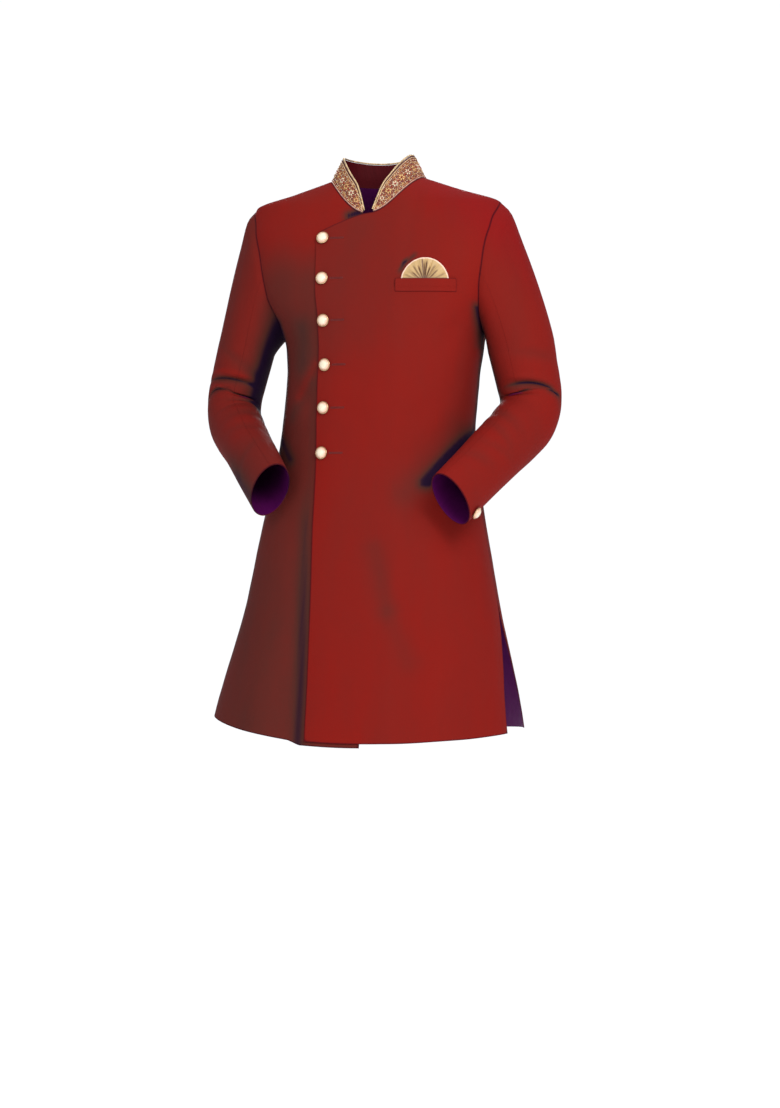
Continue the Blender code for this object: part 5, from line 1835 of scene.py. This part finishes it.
def make_collar():
    """Make the collar, its piping and the cord along its neckline seam; return its band."""
    outer, inner = collar_grid()
    shell("collar", outer, inner, (GROUND, COLLAR_LINING), "embroidered_band", ("collar",),
          edge=COLLAR_EDGE)
    middles = [(face[-1] + back[-1]) / 2 for face, back in zip(outer, inner)]
    path, ups = [], []
    for j, middle in enumerate(middles):
        along = (middles[min(j + 1, len(middles) - 1)] - middles[max(j - 1, 0)]).normalized()
        through = (outer[j][-1] - inner[j][-1]).normalized()
        up = along.cross(through).normalized()
        if up.dot(outer[j][-1] - outer[j][0]) < 0:
            up = -up
        path.append(middle + up * (PIPING_RADIUS + PIPING_LIFT))
        ups.append(up)
    tube("collar_piping", path, ups, PIPING_RADIUS, (GOLD,), ("collar_piping",))
    band = Band(outer)
    lay_cord("neckline_cord", band, SEAM_CORD_RADIUS, lambda tall: SEAM_CORD_UP / tall, ROSE_GOLD)
    lay_cord("collar_inner_cord", band, INNER_CORD_RADIUS, lambda tall: 1 - INNER_CORD_DOWN / tall,
             GOLD)
    return band


def lay_cord(name, band, radius, share_up, finish):
    """Lay a thin cord along the collar at a share of its height."""
    path, ups = [], []
    for k in range(CORD_STEPS + 1):
        run = band.length * k / CORD_STEPS
        place = band.frame(run, share_up(band.height(run)))
        path.append(place @ Vector((0, 0, radius * CORD_STAND)))
        ups.append((place.to_3x3() @ Vector((0, 0, 1))).normalized())
    tube(name, path, ups, radius, (finish,), sides=CORD_SIDES)


def grown(size, grow):
    """A bead's size where the collar is lower: smaller across and along, but as high."""
    return size[0] * grow, size[1] * grow, size[2]


def work_flower(layers, seat, grow, petal_layer):
    """Work a flower with a beaded centre and a ring of small beads round it."""
    for p in range(PETALS):
        turn = TURN * (p + 0.5) / PETALS
        place = (cos(turn) * PETAL_REACH[0] * grow, sin(turn) * PETAL_REACH[1] * grow)
        layers[petal_layer].add(seat, place, grown(PETAL_SIZE, grow), turn, ROUND_BEAD)
    layers["red"].add(seat, (0, 0), grown(CENTRE_SIZE, grow), 0, ROUND_BEAD)
    for p in range(RING_BEADS):
        turn = TURN * p / RING_BEADS
        place = (cos(turn) * RING_REACH[0] * grow, sin(turn) * RING_REACH[1] * grow)
        layers["copper"].add(seat, place, RING_BEAD_SIZE, turn)


def work_leaves(layers, seat, grow):
    """Work the four leaves at a flower's corners, each with a bud."""
    for side in (-1, 1):
        for up in (-1, 1):
            for j in range(LEAF_STITCHES):
                lean = side * (LEAF_START + LEAF_PITCH * j) * grow
                rise = up * (LEAF_RISE + LEAF_WAVE * sin(j * LEAF_WAVE_TURN)) * grow
                layers["gold"].add(seat, (lean, rise), LEAF_SIZE,
                                   up * side * (LEAF_TURN - LEAF_TURN_STEP * j))
            layers["cream"].add(seat, (side * BUD_PLACE[0] * grow, up * BUD_PLACE[1] * grow),
                                BUD_SIZE)


def work_border(layers, band, border):
    """Work one beaded border along the band, in pairs of beads of each kind by turns."""
    steps = round(band.length / BORDER_PITCH)
    size = [border.size * share for share in BORDER_BEAD]
    for k in range(steps):
        run = band.length * (k + 0.5) / steps
        share = border.up
        if share < 0.5:
            share = max(share, share * COLLAR_RISE / band.height(run))
        seat = band.frame(run, min(share, BORDER_TOP_SHARE))
        layers[border.layers[k // 2 % len(border.layers)]].add(seat, (0, 0), size)


def make_embroidery(band):
    """Work the collar: flowers with leaves, columns of beads between them, and two borders."""
    layers = {name: Beadwork() for name in BEADWORK_FINISHES}
    count = round(band.length / MOTIF_PITCH)
    for k in range(count):
        run = band.length * (k + 0.5) / count
        grow = min(band.height(run) / COLLAR_RISE, 1.0)
        seat = band.frame(run, 0.5)
        work_flower(layers, seat, grow, "cream" if k % 2 else "gold")
        work_leaves(layers, seat, grow)
        between = band.frame(band.length * (k + 1) / count - COLUMN_SHIFT, 0.5)
        for bead in COLUMN_BEAD_ROWS:
            size = (bead.size * grow, bead.size * grow, bead.size)
            layers[bead.layer].add(between, (0, bead.rise * grow), size)
    for border in BORDER_ROWS:
        work_border(layers, band, border)
    for name, work in layers.items():
        work.piece("collar_" + name + "_work", BEADWORK_FINISHES[name], "embroidered_band")


def button_profile():
    """The button's outline from its axis on top, over dome and rim, to its axis below.

    Each point is a radius, a height and the part it is on: 0 is the dome and 1 the metal.
    """
    top = SHANK_HEIGHT + BUTTON_RIM
    outline = []
    for k in range(DOME_STEPS):
        turn = radians(DOME_TURN) * k / (DOME_STEPS - 1)
        outline.append((BUTTON_RADIUS * DOME_SHARE * sin(turn), top + BUTTON_DOME * cos(turn), 0))
    outline.append((BUTTON_RADIUS * DOME_FOOT_SHARE, top + DOME_FOOT_RISE, 1))
    for k in range(RIM_STEPS):
        turn = radians(RIM_TURN) * k / (RIM_STEPS - 1)
        outline.append((BUTTON_RADIUS * (RIM_SHARE - RIM_HALF_SHARE * cos(turn)),
                        top - RIM_DROP + RIM_RISE * sin(turn), 1))
    for share, rise in zip(BACK_SHARES, (BACK_RISE, 0)):
        outline.append((BUTTON_RADIUS * share, SHANK_HEIGHT + rise, 1))
    outline += [(SHANK_RADIUS, SHANK_HEIGHT, 1), (SHANK_RADIUS, 0, 1), (0, 0, 1)]
    return outline


def make_button(name, point, normal):
    """Make one domed button with its rim and shank, standing on the cloth at this point."""
    bm = bmesh.new()
    kind = bm.verts.layers.int.new("kind")
    outline = button_profile()
    verts = []
    for radius, height, part in outline:
        vert = bm.verts.new((radius, 0, height))
        vert[kind] = part
        verts.append(vert)
    edges = [bm.edges.new(pair) for pair in zip(verts, verts[1:])]
    bmesh.ops.spin(bm, geom=verts + edges, cent=(0, 0, 0), axis=(0, 0, 1), angle=TURN,
                   steps=BUTTON_STEPS, use_merge=True, use_duplicate=False)
    bmesh.ops.remove_doubles(bm, verts=bm.verts, dist=SAME_POINT)
    bmesh.ops.recalc_face_normals(bm, faces=bm.faces)
    cloth = bm.loops.layers.uv.new("cloth")
    for face in bm.faces:
        face.material_index = 1 if any(vert[kind] for vert in face.verts) else 0
        for loop in face.loops:
            spot = loop.vert.co
            turn = atan2(spot.y, spot.x) / TURN
            loop[cloth].uv = (Vector((spot.x, spot.y)).length / BUTTON_RADIUS, turn)
    seat = normal.to_track_quat("Z", "Y").to_matrix().to_4x4()
    bmesh.ops.transform(bm, matrix=Matrix.Translation(point + normal * SEAM_GAP) @ seat,
                        verts=bm.verts)
    return add_piece(name, bm, (PEARL, GOLD_RIM), (name,))


def front_seat(x, z):
    """A place on the left front, turned so that X runs across the cloth and Z stands off it."""
    point, normal = cloth_point("front", x, z, True)
    across = Vector((1, 0, 0))
    across = (across - normal * normal.dot(across)).normalized()
    turn = Matrix((across, normal.cross(across), normal)).transposed().to_4x4()
    return Matrix.Translation(point) @ turn


def stitch_buttonhole(stitches, x, z):
    """Stitch both long sides of a buttonhole and a bar across each of its ends."""
    for row in (-1, 1):
        for j in range(round((HOLE_END - HOLE_START) / STITCH_PITCH)):
            run = HOLE_START + (j + 0.5) * STITCH_PITCH
            stitches.add(front_seat(x + run, z + row * STITCH_ROW), (0, 0), STITCH_SIZE,
                         STITCH_TURN * row)
    for end in (HOLE_START - BAR_REACH, HOLE_END + BAR_REACH):
        stitches.add(front_seat(x + end, z), (0, 0), BAR_SIZE)


def make_buttons():
    """Make the buttons and, beside each front one, its stitched buttonhole."""
    stitches = Beadwork()
    for k, spot in enumerate(BUTTON_ROWS):
        x = column_x("front", 1, -1.0, LAP, spot.z) + spot.inset
        make_button(f"front_button_{k + 1}", *cloth_point("front", x, spot.z, True))
        stitch_buttonhole(stitches, x, spot.z)
    stitches.piece("buttonhole_stitches", RED_THREAD, "maroon_cloth")
    for side in ARMS:
        make_button("cuff_button_" + side, *cuff_button_spot(Arm(side)))


def make_pocket():
    """Make the welt and the gathered square set in it."""
    shell("pocket_welt", *welt_grid(), (OUTER, LINING), "maroon_cloth", ("pocket_welt",),
          edge=SMALL_EDGE, seam_shade_narrowing=WELT_SEAM_SHADE_NARROWING)
    shell("pocket_square", *square_grid(), (SILK, SILK), "cream_gold_cloth", ("pocket_square",),
          edge=0, shades=square_shades())


# ======== Studio ========

def make_floor():
    """Lay the pale paper floor well below the hem."""
    bm = bmesh.new()
    bmesh.ops.create_circle(bm, cap_ends=True, segments=FLOOR_SIDES, radius=FLOOR_RADIUS,
                            matrix=Matrix.Translation((0, 0, FLOOR_Z)))
    mesh = bpy.data.meshes.new("studio_floor")
    bm.to_mesh(mesh)
    bm.free()
    floor_piece = bpy.data.objects.new("studio_floor", mesh)
    bpy.context.scene.collection.objects.link(floor_piece)
    paper = Finish("studio_paper")
    tone = paper.mix(paper.noise(paper.object_place(), FLOOR_PATCHES), *FLOOR_TONES)
    mesh.materials.append(paper.finish(Base_Color=tone, Roughness=0.9, Emission_Color=(1, 1, 1, 1),
                                       Emission_Strength=FLOOR_GLOW))


def make_lights():
    """Hang the four soft lamps, each turned to its target."""
    for name, row in LIGHTS.items():
        light = named_row(row, LIGHT_COLUMNS)
        lamp = bpy.data.lights.new(name, "AREA")
        lamp.shape = "RECTANGLE"
        lamp.size, lamp.size_y = light.size
        lamp.energy = light.power
        lamp.color = light.colour
        holder = bpy.data.objects.new(name, lamp)
        holder.location = light.place
        aim = Vector(light.target) - Vector(light.place)
        holder.rotation_euler = aim.to_track_quat("-Z", "Y").to_euler()
        bpy.context.scene.collection.objects.link(holder)


def make_air():
    """Fill the studio with soft light, and show the camera plain white."""
    world = bpy.data.worlds.new("studio_air")
    bpy.context.scene.world = world
    world.use_nodes = True
    nodes = world.node_tree.nodes
    air = nodes["Background"]
    air.inputs["Color"].default_value = WORLD_COLOUR
    seen = nodes.new("ShaderNodeLightPath")
    strength = nodes.new("ShaderNodeMapRange")
    strength.inputs["To Min"].default_value = WORLD_LIGHT
    strength.inputs["To Max"].default_value = WORLD_WHITE
    world.node_tree.links.new(seen.outputs["Is Camera Ray"], strength.inputs["Value"])
    world.node_tree.links.new(strength.outputs["Result"], air.inputs["Strength"])
    bpy.context.scene.view_settings.view_transform = "Standard"


def make_camera():
    """Set the camera level with the waist, a little round to the wearer's left."""
    camera = bpy.data.cameras.new("camera")
    camera.lens = CAMERA_LENS
    camera.sensor_width = CAMERA_SENSOR
    holder = bpy.data.objects.new("camera", camera)
    turn = radians(CAMERA_TURN)
    right = Vector((cos(turn), sin(turn), 0))
    ahead = Vector((-sin(turn), cos(turn), 0))
    holder.location = right * CAMERA_SHIFT - ahead * CAMERA_AWAY + Vector((0, 0, CAMERA_Z))
    holder.rotation_euler = (pi / 2, 0, turn)
    bpy.context.scene.collection.objects.link(holder)
    bpy.context.scene.camera = holder


make_panels()
make_sleeves()
make_embroidery(make_collar())
make_buttons()
make_pocket()
make_floor()
make_lights()
make_air()
make_camera()
